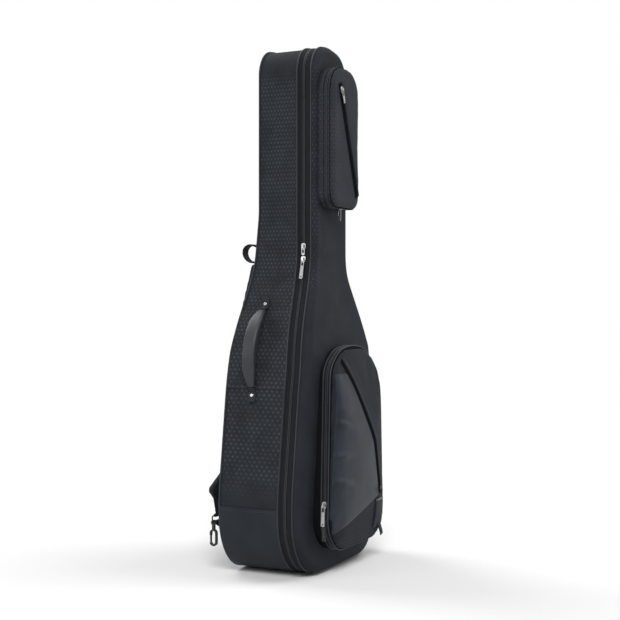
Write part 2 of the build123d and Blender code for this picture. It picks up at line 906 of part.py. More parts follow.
def slider_body(seat, bail_lift, through):
    """Slider on a zip. The seat lies in the coil: x runs along the zip and z points outwards.

    A slider between two halves has a plate on each side of the coil and a bridge between them.
    One on a sewn strip has an upper plate only, with flanges beside the coil.
    """
    bail_top = plate_top + bail_lift + bail_hole + bail_wall
    flange_depth = slash_coil_height
    flange_y = (slider_width - flange_width) / 2
    with BuildPart() as piece:
        for side in (1, -1) if through else (1,):
            with BuildSketch(seat.offset(coil_top if side > 0 else -plate_top)):
                RectangleRounded(slider_length, slider_width, slider_width / 3)
            extrude(amount=plate_thickness)
        if through:
            with BuildSketch(seat.offset(-coil_top)):
                with Locations((slider_length / 4, 0)):
                    Rectangle(slider_length / 3, coil_gap - 2 * running_gap)
            extrude(amount=2 * coil_top)
        else:
            with BuildSketch(seat.offset(coil_top)):
                with Locations((0, flange_y), (0, -flange_y)):
                    Rectangle(slider_length - slider_width * 2 / 3, flange_width)
            extrude(amount=-flange_depth)
        with BuildSketch(seat.offset(plate_top)):
            Rectangle(bail_length, bail_width)
        extrude(amount=bail_top - plate_top)
        with BuildSketch(seat.offset(plate_top + bail_lift)):
            Rectangle(bail_length - 2 * bail_wall, bail_width * 2)
        extrude(amount=bail_hole, mode=Mode.SUBTRACT)
    return piece.part


def pull_body(seat, bail_lift, lean, length, width):
    """Pull of a slider: a crossbar in the bail, a window round it and a tab with a hole."""
    turn = radians(lean)
    hinge = seat.from_local_coords(Vector(-crossbar_back, 0, plate_top + bail_lift + bail_hole / 2))
    plane = Plane(
        origin=hinge,
        x_dir=seat.x_dir * cos(turn) - seat.z_dir * sin(turn),
        z_dir=seat.z_dir * cos(turn) + seat.x_dir * sin(turn),
    )
    half_bar = crossbar_size / 2
    window_half = bail_width / 2 + 2 * running_gap
    shoulder = window_half + pull_arm
    upper_half = [(half_bar, shoulder), (-window_length, shoulder), (-length, width / 2)]
    lower_half = [(along, -across) for along, across in reversed(upper_half)]
    bends = [half_bar, pull_shoulder_radius, width / 3]
    with BuildPart() as piece:
        with BuildSketch(plane.offset(-half_bar)):
            add(rounded([*upper_half, *lower_half], [*bends, *reversed(bends)]))
            with Locations((-window_length / 2, 0)):
                Rectangle(window_length - crossbar_size, 2 * window_half, mode=Mode.SUBTRACT)
            if length > 2 * window_length:
                with Locations((-length + width * 0.55, 0)):
                    Circle(width / 5, mode=Mode.SUBTRACT)
        extrude(amount=crossbar_size)
    return piece.part


def zip_pair(names, seat, length, width, lean=0.0, lift=0.0, through=True):
    """Slider and pull on a seat."""
    keep(slider_body(seat, lift, through), names[0])
    keep(pull_body(seat, lift, lean, length, width), names[1])


coil_x = tape_inset + tape_thickness / 2
main_upper_point = (-neck_half_width + coil_x, main_coil[1], main_slider_upper_height)
main_upper_seat = Plane(origin=main_upper_point, x_dir=(0, 0, 1), z_dir=(-1, 0, 0))
zip_pair(("main_slider_upper", "main_pull_upper"), main_upper_seat, main_pull_upper_length, main_pull_width)

neck_arc_turn = atan2(shoulder_half_width - neck_half_width, neck_height - shoulder_height)
neck_arc_centre = Vector(
    -neck_half_width - neck_radius, main_coil[1], neck_height + neck_radius * tan(neck_arc_turn / 2)
)
main_lower_turn = (neck_arc_centre.Z - main_slider_lower_height) / neck_radius
main_lower_out = Vector(-cos(main_lower_turn), 0, sin(main_lower_turn))
main_lower_seat = Plane(
    origin=neck_arc_centre - main_lower_out * (neck_radius + coil_x),
    x_dir=(sin(main_lower_turn), 0, cos(main_lower_turn)),
    z_dir=main_lower_out,
)
zip_pair(
    ("main_slider_lower", "main_pull_lower"),
    main_lower_seat,
    main_pull_lower_length,
    main_pull_width,
    lean=main_pull_lower_lean,
)

side_run = Vector(
    lower_corner_half_width - lower_shoulder_half_width,
    lower_coil_y(lower_shoulder_height) - lower_coil_y(lower_corner_height),
    lower_shoulder_height - lower_corner_height,
).normalized()
side_out = Vector(-side_run.Z, 0, side_run.X).normalized()


def lower_side_point(z):
    """Point of the lower pocket's left zip at a height."""
    along = (z - lower_corner_height) / side_run.Z
    start = Vector(-lower_corner_half_width, lower_coil_y(lower_corner_height), lower_corner_height)
    return start + side_run * along - side_out * coil_x


pocket_front_seat = Plane(
    origin=lower_side_point(pocket_slider_front_height), x_dir=side_run, z_dir=side_out
)
zip_pair(
    ("pocket_slider_front", "pocket_pull_front"),
    pocket_front_seat,
    pocket_pull_length,
    main_pull_width,
    lift=high_bail,
)

side_lean = atan2(side_run.X, side_run.Z)
foot_lean = atan2(lower_corner_half_width - lower_low_half_width, lower_corner_height - lower_low)
corner_start = lower_corner_height + lower_corner_radius * tan((foot_lean + side_lean) / 2) * cos(side_lean)
corner_centre = lower_side_point(corner_start) - side_out * (lower_corner_radius - coil_x)
pocket_rear_out = side_out.rotate(Axis.Y, -pocket_slider_rear_angle)
pocket_rear_seat = Plane(
    origin=corner_centre + pocket_rear_out * (lower_corner_radius - coil_x),
    x_dir=side_run.rotate(Axis.Y, -pocket_slider_rear_angle),
    z_dir=pocket_rear_out,
)
zip_pair(("pocket_slider_rear", "pocket_pull_rear"), pocket_rear_seat, pocket_pull_length, main_pull_width)

perimeter_seat = Plane(origin=(0, upper_coil_y, upper_low + coil_x), x_dir=(1, 0, 0), z_dir=(0, 0, -1))
zip_pair(
    ("perimeter_slider", "perimeter_pull"),
    perimeter_seat,
    perimeter_pull_length,
    small_pull_width,
    lean=90,
)

upper_slash_run = Vector(
    upper_slash_top[0] - upper_slash_bottom[0], 0, upper_slash_top[1] - upper_slash_bottom[1]
).normalized()
slash_lift = tape_thickness + slash_coil_height - coil_thickness / 2
upper_slash_start = Vector(upper_slash_top[0], upper_front_y - slash_lift, upper_slash_top[1])
upper_slash_seat = Plane(
    origin=upper_slash_start - upper_slash_run * slash_park, x_dir=upper_slash_run, z_dir=(0, -1, 0)
)
zip_pair(
    ("slash_slider_upper", "slash_pull_upper"),
    upper_slash_seat,
    slash_pull_length,
    small_pull_width,
    through=False,
)

(slash_high_x, slash_high_z), (slash_low_x, slash_low_z) = lower_slash[1:]
slash_share = (slash_slider_lower_height - slash_low_z) / (slash_high_z - slash_low_z)
slash_seat_x = slash_low_x + (slash_high_x - slash_low_x) * slash_share
slash_out = Vector(slash_seat_x / across_radius, -sqrt(1 - (slash_seat_x / across_radius) ** 2), 0)
slash_across = (slash_high_x - slash_low_x) / -slash_out.Y
slash_lower_run = Vector(
    slash_across * -slash_out.Y, slash_across * slash_out.X, slash_high_z - slash_low_z
).normalized()
slash_seat_z = slash_slider_lower_height
slash_surface = Vector(slash_seat_x, cover_y(slash_seat_x, slash_seat_z), slash_seat_z)
lower_slash_seat = Plane(
    origin=slash_surface + slash_out * slash_lift, x_dir=slash_lower_run, z_dir=slash_out
)
zip_pair(
    ("slash_slider_lower", "slash_pull_lower"),
    lower_slash_seat,
    slash_pull_short,
    small_pull_width,
    through=False,
)

# ==== Back: yoke, haul loop, shoulder straps, rings and hooks ==========================================
with BuildPart() as strap_yoke:
    yoke_zone = window((-yoke_half_width, yoke_low), (yoke_half_width, yoke_high))
    add(layer(shifted(back_face, yoke_thickness), back_face, only=yoke_zone))
keep(strap_yoke.part, "strap_yoke")

with BuildPart() as haul_loop:
    loop_root = depth_at(back_face, loop_height) + yoke_thickness + cloth_gap
    loop_corner = loop_root - loop_root_radius * (hypot(loop_reach, loop_half_height) / loop_half_height - 1)
    with BuildSketch(Plane.YZ.offset(-webbing_width / 2)):
        with BuildLine():
            FilletPolyline(
                (loop_corner, loop_height),
                (loop_corner + loop_reach, loop_height + loop_half_height),
                (loop_corner + loop_reach, loop_height - loop_half_height),
                radius=[loop_root_radius, loop_end_radius, loop_end_radius],
                close=True,
            )
        make_face()
        offset(amount=-loop_thickness, mode=Mode.SUBTRACT)
    extrude(amount=webbing_width)
keep(haul_loop.part, "haul_loop")


def side_band(line, thickness):
    """Side view of a padded strap: a line of (Y, Z) points and its thickness away from the bag."""
    bends = [strap_thickness * 4] * (len(line) - 2)
    with BuildSketch() as face:
        with BuildLine():
            FilletPolyline(
                *line,
                *[(y + thickness, z) for y, z in reversed(line)],
                radius=[0, *bends, 0, 0, *bends, 0],
                close=True,
            )
        make_face()
    return face.sketch


strap_high = strap_top + strap_top_run
strap_line = [
    (depth_at(back_face, strap_high) + yoke_thickness + cloth_gap, strap_high),
    (depth_at(back_face, yoke_low) + yoke_thickness + cloth_gap, yoke_low),
    (depth_at(back_face, strap_outer[1][1]) + strap_swell, strap_outer[1][1]),
    (back_body_y + strap_stand, strap_outer[2][1]),
    (back_body_y + strap_end_stand, strap_wing[2][1]),
]
strap_points = [*strap_outer, *strap_wing, *strap_inner]
strap_bends = [0, strap_upper_bend, strap_lower_bend]
wing_bends = [strap_wing_root_radius, strap_tip_radius, strap_notch_radius, strap_wing_root_radius]
strap_radii = [*strap_bends, *wing_bends, *reversed(strap_bends)]
for side, label in ((1, "shoulder_strap_left"), (-1, "shoulder_strap_right")):
    with BuildPart() as shoulder_strap:
        with BuildSketch(Plane.XZ):
            add(rounded([(side * x, z) for x, z in strap_points], strap_radii))
        extrude(amount=reach, both=True)
        with BuildSketch(Plane.YZ):
            add(side_band(strap_line, strap_thickness))
        extrude(amount=reach, both=True, mode=Mode.INTERSECT)
    keep(shoulder_strap.part, label)
    if side > 0:
        strap_left_part = shoulder_strap.part
    else:
        strap_right_part = shoulder_strap.part

with BuildPart() as strap_rings:
    for side in (-1, 1):
        near = side * ring_x - ring_half_width
        far = side * ring_x + ring_half_width
        with BuildLine(Plane.XZ.offset(-ring_y)) as ring_path:
            ring_corners = [(near, ring_low), (far, ring_low), (far, ring_high), (near, ring_high)]
            FilletPolyline(*ring_corners, radius=ring_bar * 2, close=True)
        with BuildSketch(Plane(origin=(side * ring_x, ring_y, ring_low), z_dir=(1, 0, 0))):
            Circle(ring_bar)
        sweep(path=ring_path.wire())
keep(strap_rings.part, "strap_rings")

webbing_hole = ring_bar + running_gap


def webbing_loop(bar_z, end, across):
    """Side view of webbing folded round a ring's bar and running to an end point."""
    run = (Vector(*end) - Vector(ring_y, bar_z)).normalized()
    normal = Vector(-run.Y, run.X) * across
    with BuildSketch() as face:
        with Locations((ring_y, bar_z)):
            Circle(webbing_hole + webbing_thickness)
        near = Vector(ring_y, bar_z) + normal * webbing_hole
        Polygon(
            near,
            near + normal * webbing_thickness,
            Vector(*end) + normal * (webbing_hole + webbing_thickness),
            Vector(*end) + normal * webbing_hole,
            align=None,
        )
        with Locations((ring_y, bar_z)):
            Circle(webbing_hole, mode=Mode.SUBTRACT)
    return face.sketch


low_share = (webbing_high - strap_line[-1][1]) / (strap_line[-2][1] - strap_line[-1][1])
webbing_inner_y = strap_line[-1][0] + (strap_line[-2][0] - strap_line[-1][0]) * low_share
webbing_end = (webbing_inner_y + webbing_sink, webbing_high)
with BuildPart() as strap_webbing:
    for side in (-1, 1):
        with BuildSketch(Plane.YZ.offset(side * webbing_x - webbing_width / 2)):
            add(webbing_loop(ring_high, webbing_end, 1))
    extrude(amount=webbing_width)
    add(strap_left_part, mode=Mode.SUBTRACT)
    add(strap_right_part, mode=Mode.SUBTRACT)
keep(strap_webbing.part, "strap_webbing")

with BuildPart() as strap_anchors:
    for side in (-1, 1):
        with BuildSketch(Plane.YZ.offset(side * webbing_x - webbing_width / 2)):
            add(webbing_loop(ring_low, (back_body_y, anchor_high), 1))
            Polygon(
                (back_body_y, anchor_low),
                (back_body_y + webbing_thickness, anchor_low),
                (back_body_y + webbing_thickness, anchor_high + webbing_width / 2),
                (back_body_y, anchor_high + webbing_width / 2),
                align=None,
            )
            inside_bag = [(back_body_y, 0), (back_body_y, ring_high * 2), (0, ring_high * 2), (0, 0)]
            Polygon(*inside_bag, align=None, mode=Mode.SUBTRACT)
    extrude(amount=webbing_width)
keep(strap_anchors.part, "strap_anchors")

hook_centre_z = ring_low - hook_shank - hook_height / 2
gate_y = ring_y + hook_half_width - hook_wall / 2
gate_pin_z = hook_centre_z + gate_length / 2
for side, place in ((-1, "left"), (1, "right")):
    middle = Plane.YZ.offset(side * hook_x)
    with BuildPart() as snap_hook:
        with BuildSketch(middle):
            with Locations((ring_y, ring_low)):
                Circle(hook_eye)
            with Locations((ring_y, ring_low - (hook_shank + hook_wall / 2) / 2)):
                Rectangle(hook_shank_width, hook_shank + hook_wall / 2)
            with Locations((ring_y, hook_centre_z)):
                SlotOverall(hook_height, 2 * hook_half_width, rotation=90)
                eye_length = hook_height - 2 * hook_wall
                SlotOverall(eye_length, 2 * (hook_half_width - hook_wall), rotation=90, mode=Mode.SUBTRACT)
            with Locations((ring_y, ring_low)):
                Circle(webbing_hole, mode=Mode.SUBTRACT)
        extrude(amount=hook_thickness / 2, both=True)
        with BuildSketch(middle):
            with Locations((gate_y, hook_centre_z - gate_end / 2)):
                Rectangle(hook_wall + 2 * gate_slot_margin, gate_length - gate_end + 2 * running_gap)
        extrude(amount=hook_thickness, both=True, mode=Mode.SUBTRACT)
        with BuildSketch(middle):
            with Locations((gate_y, gate_pin_z)):
                Rectangle(hook_wall * 3, gate_end * 2)
        extrude(amount=gate_width / 2 + running_gap, both=True, mode=Mode.SUBTRACT)
        with BuildSketch(middle):
            with Locations((gate_y, gate_pin_z)):
                Circle(pin_radius + pin_fit)
        extrude(amount=hook_thickness, both=True, mode=Mode.SUBTRACT)
    keep(snap_hook.part, f"snap_hook_{place}")
    with BuildPart() as snap_gate:
        with BuildSketch(middle):
            gate_overall = gate_length + gate_thickness / 2
            with Locations((gate_y, gate_pin_z - gate_length + gate_overall / 2)):
                SlotOverall(gate_overall, gate_thickness, rotation=90)
        extrude(amount=gate_width / 2, both=True)
        with BuildSketch(middle):
            with Locations((gate_y, gate_pin_z)):
                Circle(pin_radius)
        extrude(amount=hook_thickness / 2, both=True)
    keep(snap_gate.part, f"snap_gate_{place}")

# ==== Inside: neck cradle, its strap and the end pad ====================================================
back_lined = shifted(back_inside, -lining_thickness)


def inner_block(front_y, low, high):
    """Foam block that fills the lined case between two heights, from the back to a depth."""
    zone = window((-reach, low), (reach, high))
    with BuildPart() as piece:
        with BuildSketch(Plane.XZ.offset(-front_y)):
            add(outline(lining_inset))
            add(zone, mode=Mode.INTERSECT)
        extrude(amount=-reach)
        with BuildSketch(Plane.YZ):
            add(depth_band(back_lined, shifted(zip_line, -reach)))
        extrude(amount=reach, both=True, mode=Mode.INTERSECT)
    return piece.part


with BuildPart() as neck_cradle:
    add(inner_block(cradle_front, cradle_low, cradle_low + cradle_height))
    with BuildSketch(Plane.XY.offset(cradle_low)):
        with Locations((0, cradle_front)):
            Circle(neck_groove)
    extrude(amount=cradle_height, mode=Mode.SUBTRACT)
keep(neck_cradle.part, "neck_cradle")

with BuildPart() as neck_strap:
    with BuildSketch(Plane.XZ.offset(-cradle_front)):
        with Locations((0, cradle_low + cradle_height / 2)):
            Rectangle(2 * neck_strap_half, cradle_height - 2 * neck_strap_margin)
    extrude(amount=webbing_thickness)
keep(neck_strap.part, "neck_strap")

with BuildPart() as end_pad:
    add(inner_block(end_pad_front, 0, end_pad_high))
keep(end_pad.part, "end_pad")
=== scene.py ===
"""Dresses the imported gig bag: padded fabric shells, piping, zips, leather, webbing and metal.

Everything is in metres in the bag's own frame: X across the bag, -Y to the front, Z up.
"""

import math

import bpy
import numpy as np
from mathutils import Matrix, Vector, noise
from mathutils.bvhtree import BVHTree


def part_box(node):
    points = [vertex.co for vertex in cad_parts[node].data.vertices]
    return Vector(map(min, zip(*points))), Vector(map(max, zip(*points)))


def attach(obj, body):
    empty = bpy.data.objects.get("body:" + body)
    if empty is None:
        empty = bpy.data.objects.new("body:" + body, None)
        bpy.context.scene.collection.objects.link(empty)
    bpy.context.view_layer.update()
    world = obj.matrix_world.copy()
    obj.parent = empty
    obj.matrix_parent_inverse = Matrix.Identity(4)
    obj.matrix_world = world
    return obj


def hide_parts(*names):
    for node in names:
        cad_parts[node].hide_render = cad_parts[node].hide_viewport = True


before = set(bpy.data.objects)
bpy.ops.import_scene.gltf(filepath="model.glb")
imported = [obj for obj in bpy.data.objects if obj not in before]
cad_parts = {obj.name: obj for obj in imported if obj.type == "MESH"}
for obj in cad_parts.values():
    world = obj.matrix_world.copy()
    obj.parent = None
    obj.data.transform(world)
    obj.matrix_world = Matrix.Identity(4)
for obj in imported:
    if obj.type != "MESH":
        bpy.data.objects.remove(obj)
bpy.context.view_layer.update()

bl_info = {
    "name": "Padded gig bag",
    "version": (1, 0, 0),
    "blender": (4, 5, 0),
    "location": "3D View > Sidebar > Gig bag",
    "description": "Dresses the packed gig bag in padded fabric, leather, zips, webbing and metal",
    "category": "Add Mesh",
}

FINISHES = {}
ARC_STEP = 0.003
RING_COUNT = 720
WALL_COUNT = 520
QUARTER_TURN = [math.radians(angle) for angle in (0, 22, 45, 68, 90)]
FRONT, BACK = -1, 1
DEPTHWISE = np.array([0, 1.0, 0])


# ==== Sizes and colours =============================================================================
def length(name, description, default):
    """Property for a length in metres."""
    return bpy.props.FloatProperty(
        name=name, description=description, default=default, unit="LENGTH", precision=4
    )


def lengths(name, description, *default):
    """Property for a few lengths in metres that belong together."""
    return bpy.props.FloatVectorProperty(
        name=name, description=description, default=default, size=len(default), unit="LENGTH", precision=4
    )


def bend(name, *default):
    """Property for one bend of an outline."""
    return lengths(name, "Half width, height and radius of this bend of the outline", *default)


def slope(name, *default):
    """Property for a wall that is deeper at the body than at the neck."""
    description = "Depth at the body and at the neck, and the heights where the slope between starts and ends"
    return lengths(name, description, *default)


def colour(name, description, *default):
    """Property for a colour, in scene linear values."""
    return bpy.props.FloatVectorProperty(
        name=name, description=description, default=default, subtype="COLOR", size=3, min=0.0, max=1.0
    )


class GIGBAG_PG_case(bpy.types.PropertyGroup):
    """Front outline and side profile of the bag."""

    base: bend("Base", 0.150, 0.006, 0.100)
    corner: bend("Lower corners", 0.208, 0.080, 0.130)
    bout: bend("Lower bout", 0.211, 0.165, 0.400)
    shoulder: bend("Shoulders", 0.168, 0.470, 0.600)
    neck: bend("Start of the neck", 0.083, 0.642, 0.180)
    head: lengths("Head", "Drop of the head's corners below the top, and their radius", 0.012, 0.060)
    crown: lengths("Crown", "Height and radius of the top", 1.127, 0.150)
    back: slope("Back", 0.102, 0.074, 0.470, 0.760)
    rim: slope("Front rim of the case", -0.038, -0.020, 0.430, 0.634)
    profile_radius: length("Profile radius", "Rounding of the side profile", 0.300)
    back_thickness: length("Back thickness", "Foam of the back", 0.014)
    gusset_thickness: length("Gusset thickness", "Foam of the side", 0.012)
    lining_thickness: length("Lining thickness", "Plush lining", 0.002)
    guard_thickness: length("Guard thickness", "Leather skin round the base", 0.0018)
    guard_height: length("Guard height", "Top edge of the leather round the base", 0.147)
    piping: length("Piping", "Diameter of the piping", 0.0035)
    zip_band: length("Zip band", "Width of the main zip", 0.028)
    lid_depth: lengths("Lid depth", "Depth of the lid at the body and at the neck", 0.026, 0.015)
    lid_dome: length("Lid dome", "Drop of the lid's front from its middle to its sides", 0.012)
    lid_round: length("Lid rounding", "Rounding of the lid's front edge", 0.013)
    spine: lengths("Spine", "Heights of the cloth spine's two ends", 0.203, 0.376)


class GIGBAG_PG_pockets(bpy.types.PropertyGroup):
    """Pockets on the lid."""

    upper: lengths("Upper pocket", "Half width, lower edge and upper edge", 0.073, 0.775, 1.079)
    upper_radii: lengths("Upper radii", "Rounding of its lower and its upper corners", 0.032, 0.058)
    upper_front: length("Upper front", "Depth of the upper pocket's front face", -0.097)
    cover: length("Cover thickness", "Foam of the upper pocket's cover", 0.008)
    band: length("Pocket zip band", "Width of the pocket zips", 0.016)
    upper_slash: lengths("Upper slash", "X and Z of its two ends, top first", -0.039, 1.041, 0.052, 0.803)
    upper_flap: length("Upper flap width", "Flap beside the upper slash", 0.022)
    foot: bend("Lower pocket's foot", 0.105, 0.052, 0.070)
    corner: bend("Lower pocket's corners", 0.150, 0.100, 0.060)
    shoulder: bend("Lower pocket's shoulders", 0.116, 0.436, 0.055)
    arch: lengths("Arch", "Half width, drop below its middle and radius of its bends", 0.064, 0.009, 0.090)
    crown: lengths("Arch's middle", "Height and radius of the arch's middle", 0.480, 0.250)
    lower_zip: lengths("Lower zip", "Depth of its zip at the foot and at the top", -0.114, -0.102)
    fronts: lengths(
        "Lower front", "Depth below the foot, at the fullest place and above the top", -0.126, -0.1435, -0.112
    )
    full_height: length("Fullest height", "Height of the lower cover's fullest place", 0.220)
    front_drop: length("Front drop", "Drop of the lower cover's front at its sides", 0.017)
    overrun: length("Overrun", "Length that the front's arc runs past the pocket", 0.020)
    lower_slash: lengths(
        "Lower slash", "X and Z of its three points, top first", -0.078, 0.450, 0.050, 0.268, 0.088, 0.150
    )
    slash_width: length("Slash zip width", "Width of the zips in the slashes", 0.012)
    lower_flap: length("Lower flap width", "Flap beside the lower slash", 0.030)
    leather: lengths("Leather", "Heights of its upper edge and of its lower left corner", 0.422, 0.092)
    margin: length("Margin", "Bare rim of the cover round the sewn pieces", 0.007)


class GIGBAG_PG_finishes(bpy.types.PropertyGroup):
    """Colours and the scale of the patterns."""

    shell: colour("Shell fabric", "Main fabric", 0.0215, 0.0246, 0.0292)
    smooth: colour("Smooth fabric", "Fabric of the lid and the lower pocket", 0.0160, 0.0188, 0.0240)
    pocket: colour("Pocket fabric", "Fabric of the upper pocket", 0.0205, 0.0240, 0.0300)
    # Painted shade: a near-black fabric that stands for the shadow in the recess between lid and lower pocket
    # and in the slash openings.
    wall: colour("Wall fabric", "Dark fabric of the lower pocket's wall", 0.0050, 0.0060, 0.0068)
    guard: colour("Base leather", "Leather round the base", 0.0165, 0.0198, 0.0245)
    panel: colour("Panel leather", "Leather on the lower pocket", 0.0125, 0.0168, 0.0235)
    handle: colour("Handle leather", "Leather of the side handle", 0.0200, 0.0232, 0.0290)
    piping: colour("Piping", "Cord round the edges", 0.0200, 0.0225, 0.0270)
    tape: colour("Zip tape", "Woven tape of the zips", 0.0092, 0.0112, 0.0138)
    teeth: colour("Zip teeth", "Nylon coil", 0.0150, 0.0172, 0.0205)
    webbing: colour("Webbing", "Straps and loops", 0.0150, 0.0172, 0.0215)
    thread: colour("Thread", "Stitches", 0.0340, 0.0370, 0.0430)
    plush: colour("Plush", "Lining", 0.0650, 0.0680, 0.0760)
    rubber: colour("Rubber", "Feet", 0.0120, 0.0120, 0.0125)
    black_metal: colour("Black metal", "Snap hooks, rings and dark pulls", 0.0110, 0.0115, 0.0125)
    bright_metal: colour("Bright metal", "Sliders, pulls and rivets", 0.3600, 0.3650, 0.3750)
    emboss: length("Emboss pitch", "Side of the pressed triangles", 0.010)
    coil_pitch: length("Coil pitch", "Distance between zip teeth", 0.0026)
    stitch_pitch: length("Stitch pitch", "Distance between stitches", 0.0042)


def case():
    """Sizes of the case and the lid."""
    return bpy.context.scene.gigbag_case


def pockets():
    """Sizes of the pockets."""
    return bpy.context.scene.gigbag_pockets


def finishes():
    """Colours and pattern sizes."""
    return bpy.context.scene.gigbag_finishes


# ==== Lines: the outlines and profiles that the pieces follow ==========================================
def unit(vectors):
    """Vectors at length one."""
    return vectors / np.linalg.norm(vectors, axis=-1, keepdims=True)


def travel(points):
    """Distance of each point of a path from its start."""
    return np.concatenate([[0.0], np.cumsum(np.linalg.norm(np.diff(points, axis=0), axis=1))])


def spaced(points, count):
    """A path's points at even distances, and the distance of each from the start."""
    points = np.array(points, float)
    along = travel(points)
    even = np.linspace(0.0, along[-1], count)
    return np.stack([np.interp(even, along, axis) for axis in points.T], axis=1), even


def rounded(bends, closed=True):
    """Points of a path whose corners are arcs. A bend is (x, z, radius)."""
    corners = [np.array(entry[:2], float) for entry in bends]
    points = []
    for index, corner in enumerate(corners):
        radius = bends[index][2]
        if radius == 0:
            points.append(corner)
            continue
        back = unit(corners[index - 1] - corner)
        ahead = unit(corners[(index + 1) % len(corners)] - corner)
        half = math.acos(float(np.clip(back @ ahead, -1, 1))) / 2
        centre = corner + unit(back + ahead) * radius / math.sin(half)
        start = corner + back * radius / math.tan(half) - centre
        end = corner + ahead * radius / math.tan(half) - centre
        turn = math.atan2(start[0] * end[1] - start[1] * end[0], float(start @ end))
        count = max(3, math.ceil(abs(turn) * radius / ARC_STEP))
        for step in range(count + 1):
            cos, sin = math.cos(turn * step / count), math.sin(turn * step / count)
            x = start[0] * cos - start[1] * sin
            z = start[0] * sin + start[1] * cos
            points.append(centre + np.array([x, z]))
    if closed:
        points.append(points[0])
    return np.array(points)


class Outline:
    """A closed path in the front view, or a span of it, from its lowest middle point, anticlockwise.

    It is the same on both sides. A bend is (half width, height, radius) and the crown (height, radius).
    """

    def __init__(self, bends, crown, count, span=None):
        middle = [(0, *crown)] if crown else []
        left = [(-x, z, radius) for x, z, radius in reversed(bends)]
        points, along = spaced(rounded([(0, bends[0][1], 0), *bends, *middle, *left]), count + 1)
        ahead = unit(np.roll(points[:-1], -1, axis=0) - np.roll(points[:-1], 1, axis=0))
        normals = np.stack([ahead[:, 1], -ahead[:, 0]], axis=1)
        normals = np.concatenate([normals, normals[:1]])
        self.closed = span is None
        kept = slice(None) if self.closed else span
        self.points, self.normals, self.along = points[kept], normals[kept], along[kept]


def bag_outline(count, span=None):
    """Front outline of the bag."""
    size = case()
    head = (size.neck[0], size.crown[0] - size.head[0], size.head[1])
    bends = [size.base, size.corner, size.bout, size.shoulder, size.neck, head]
    return Outline(bends, size.crown, count, span)


def upper_outline(count, span=None):
    """Front outline of the upper pocket."""
    half, low, high = pockets().upper
    low_radius, high_radius = pockets().upper_radii
    return Outline([(half, low, low_radius), (half, high, high_radius)], None, count, span)


def lower_outline(count, span=None):
    """Front outline of the lower pocket."""
    size = pockets()
    arch = (size.arch[0], size.crown[0] - size.arch[1], size.arch[2])
    return Outline([size.foot, size.corner, size.shoulder, arch], size.crown, count, span)


def open_outline(build, count, gap):
    """An outline without the stations that a test picks, starting after the gap."""
    whole = build(count)
    kept = ~gap(whole)[:-1]
    start = np.flatnonzero(kept & ~np.roll(kept, 1))[0]
    order = (np.arange(count) + start) % count
    path = build(count, order[kept[order]])
    path.along = np.arange(len(path.points)) * (whole.along[1] - whole.along[0])
    return path


def level(depth):
    """Depth line of a flat piece. A depth line gives the Y of a piece at each X and Z."""
    return lambda x, z: depth + 0 * z


def moved(line, by):
    """A depth line moved along Y."""
    return lambda x, z: line(x, z) + by


def between(rear, front, share):
    """A depth line at a share of the way from one line to another."""
    return lambda x, z: rear(x, z) * (1 - share) + front(x, z) * share


def profile(body, neck, low, high):
    """Depth line of a wall that slopes between two heights."""
    radius = case().profile_radius
    line = rounded([(body, -1.0, 0), (body, low, radius), (neck, high, radius), (neck, 2.0, 0)], closed=False)
    return lambda x, z: np.interp(z, line[:, 1], line[:, 0])


def back_line():
    """Depth of the back face."""
    return profile(*case().back)


def rim_line():
    """Depth of the case's front rim, where the main zip starts."""
    return profile(*case().rim)


def lid_line():
    """Depth of the lid's front face, domed across the body."""
    size = case()
    body, neck, low, high = size.rim
    deepest = body - size.zip_band - size.lid_depth[0]
    flat = profile(deepest, neck - size.zip_band - size.lid_depth[1], low, high)
    return lambda x, z: np.maximum(flat(x, z), deepest + size.lid_dome * (x / size.bout[0]) ** 2)


def pocket_zip_line():
    """Depth of the lower pocket's zip."""
    size = pockets()
    (low, high), foot = size.lower_zip, size.foot[1]
    return lambda x, z: low + (high - low) * ((z - foot) / (size.crown[0] - foot))


def cover_line():
    """Depth of the lower pocket's crowned front: an arc along it and another across it."""
    size = pockets()
    first = np.array([size.fronts[0], size.foot[1] - size.overrun])
    middle = np.array([size.fronts[1], size.full_height])
    last = np.array([size.fronts[2], size.crown[0] + size.overrun])
    matrix = 2 * np.array([middle - first, last - first])
    centre = np.linalg.solve(matrix, [middle @ middle - first @ first, last @ last - first @ first])
    radius = np.linalg.norm(first - centre)
    wide = (size.corner[0] ** 2 + size.front_drop**2) / (2 * size.front_drop)

    def line(x, z):
        along = centre[0] - np.sqrt(np.maximum(radius**2 - (z - centre[1]) ** 2, 0))
        across = size.fronts[1] + wide - np.sqrt(np.maximum(wide**2 - x**2, 0))
        return np.maximum(along, across)

    return line


def middle_line(low, high):
    """Centre line of an outline: each point's nearest place on the upright middle between two heights."""
    return lambda flat: np.stack([np.zeros(len(flat)), np.clip(flat[:, 1], low, high)], axis=1)


def centre_line():
    """Upright middle of the bag between the bout and the head."""
    size = case()
    return middle_line(size.base[1] + size.base[2], size.crown[0] - size.neck[0])


def in_spine(outline):
    """Stations of the bag's outline that lie in the cloth spine on the right."""
    low, high = case().spine
    x, z = outline.points.T
    return (x > 0) & (z > low - 0.001) & (z < high + 0.001)


def in_upper_hinge(outline):
    """Stations of the upper pocket's outline that lie in its sewn cloth side."""
    _, low, high = pockets().upper
    zip_low, zip_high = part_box("upper_wall_zip")
    x, z = outline.points.T
    return (x > 0) & (z > max(zip_low.z, low + 0.034)) & (z < min(zip_high.z, high - 0.052))


def in_lower_hinge(outline):
    """Stations of the lower pocket's outline that lie in its sewn foot."""
    x, z = outline.points.T
    return (abs(x) < 0.0704) & (z < pockets().foot[1] + 0.015)


def sideways(path, distance):
    """A downward path of the front view moved to its right."""
    ahead = unit(np.gradient(path, axis=0))
    return path + np.stack([-ahead[:, 1], ahead[:, 0]], axis=1) * distance


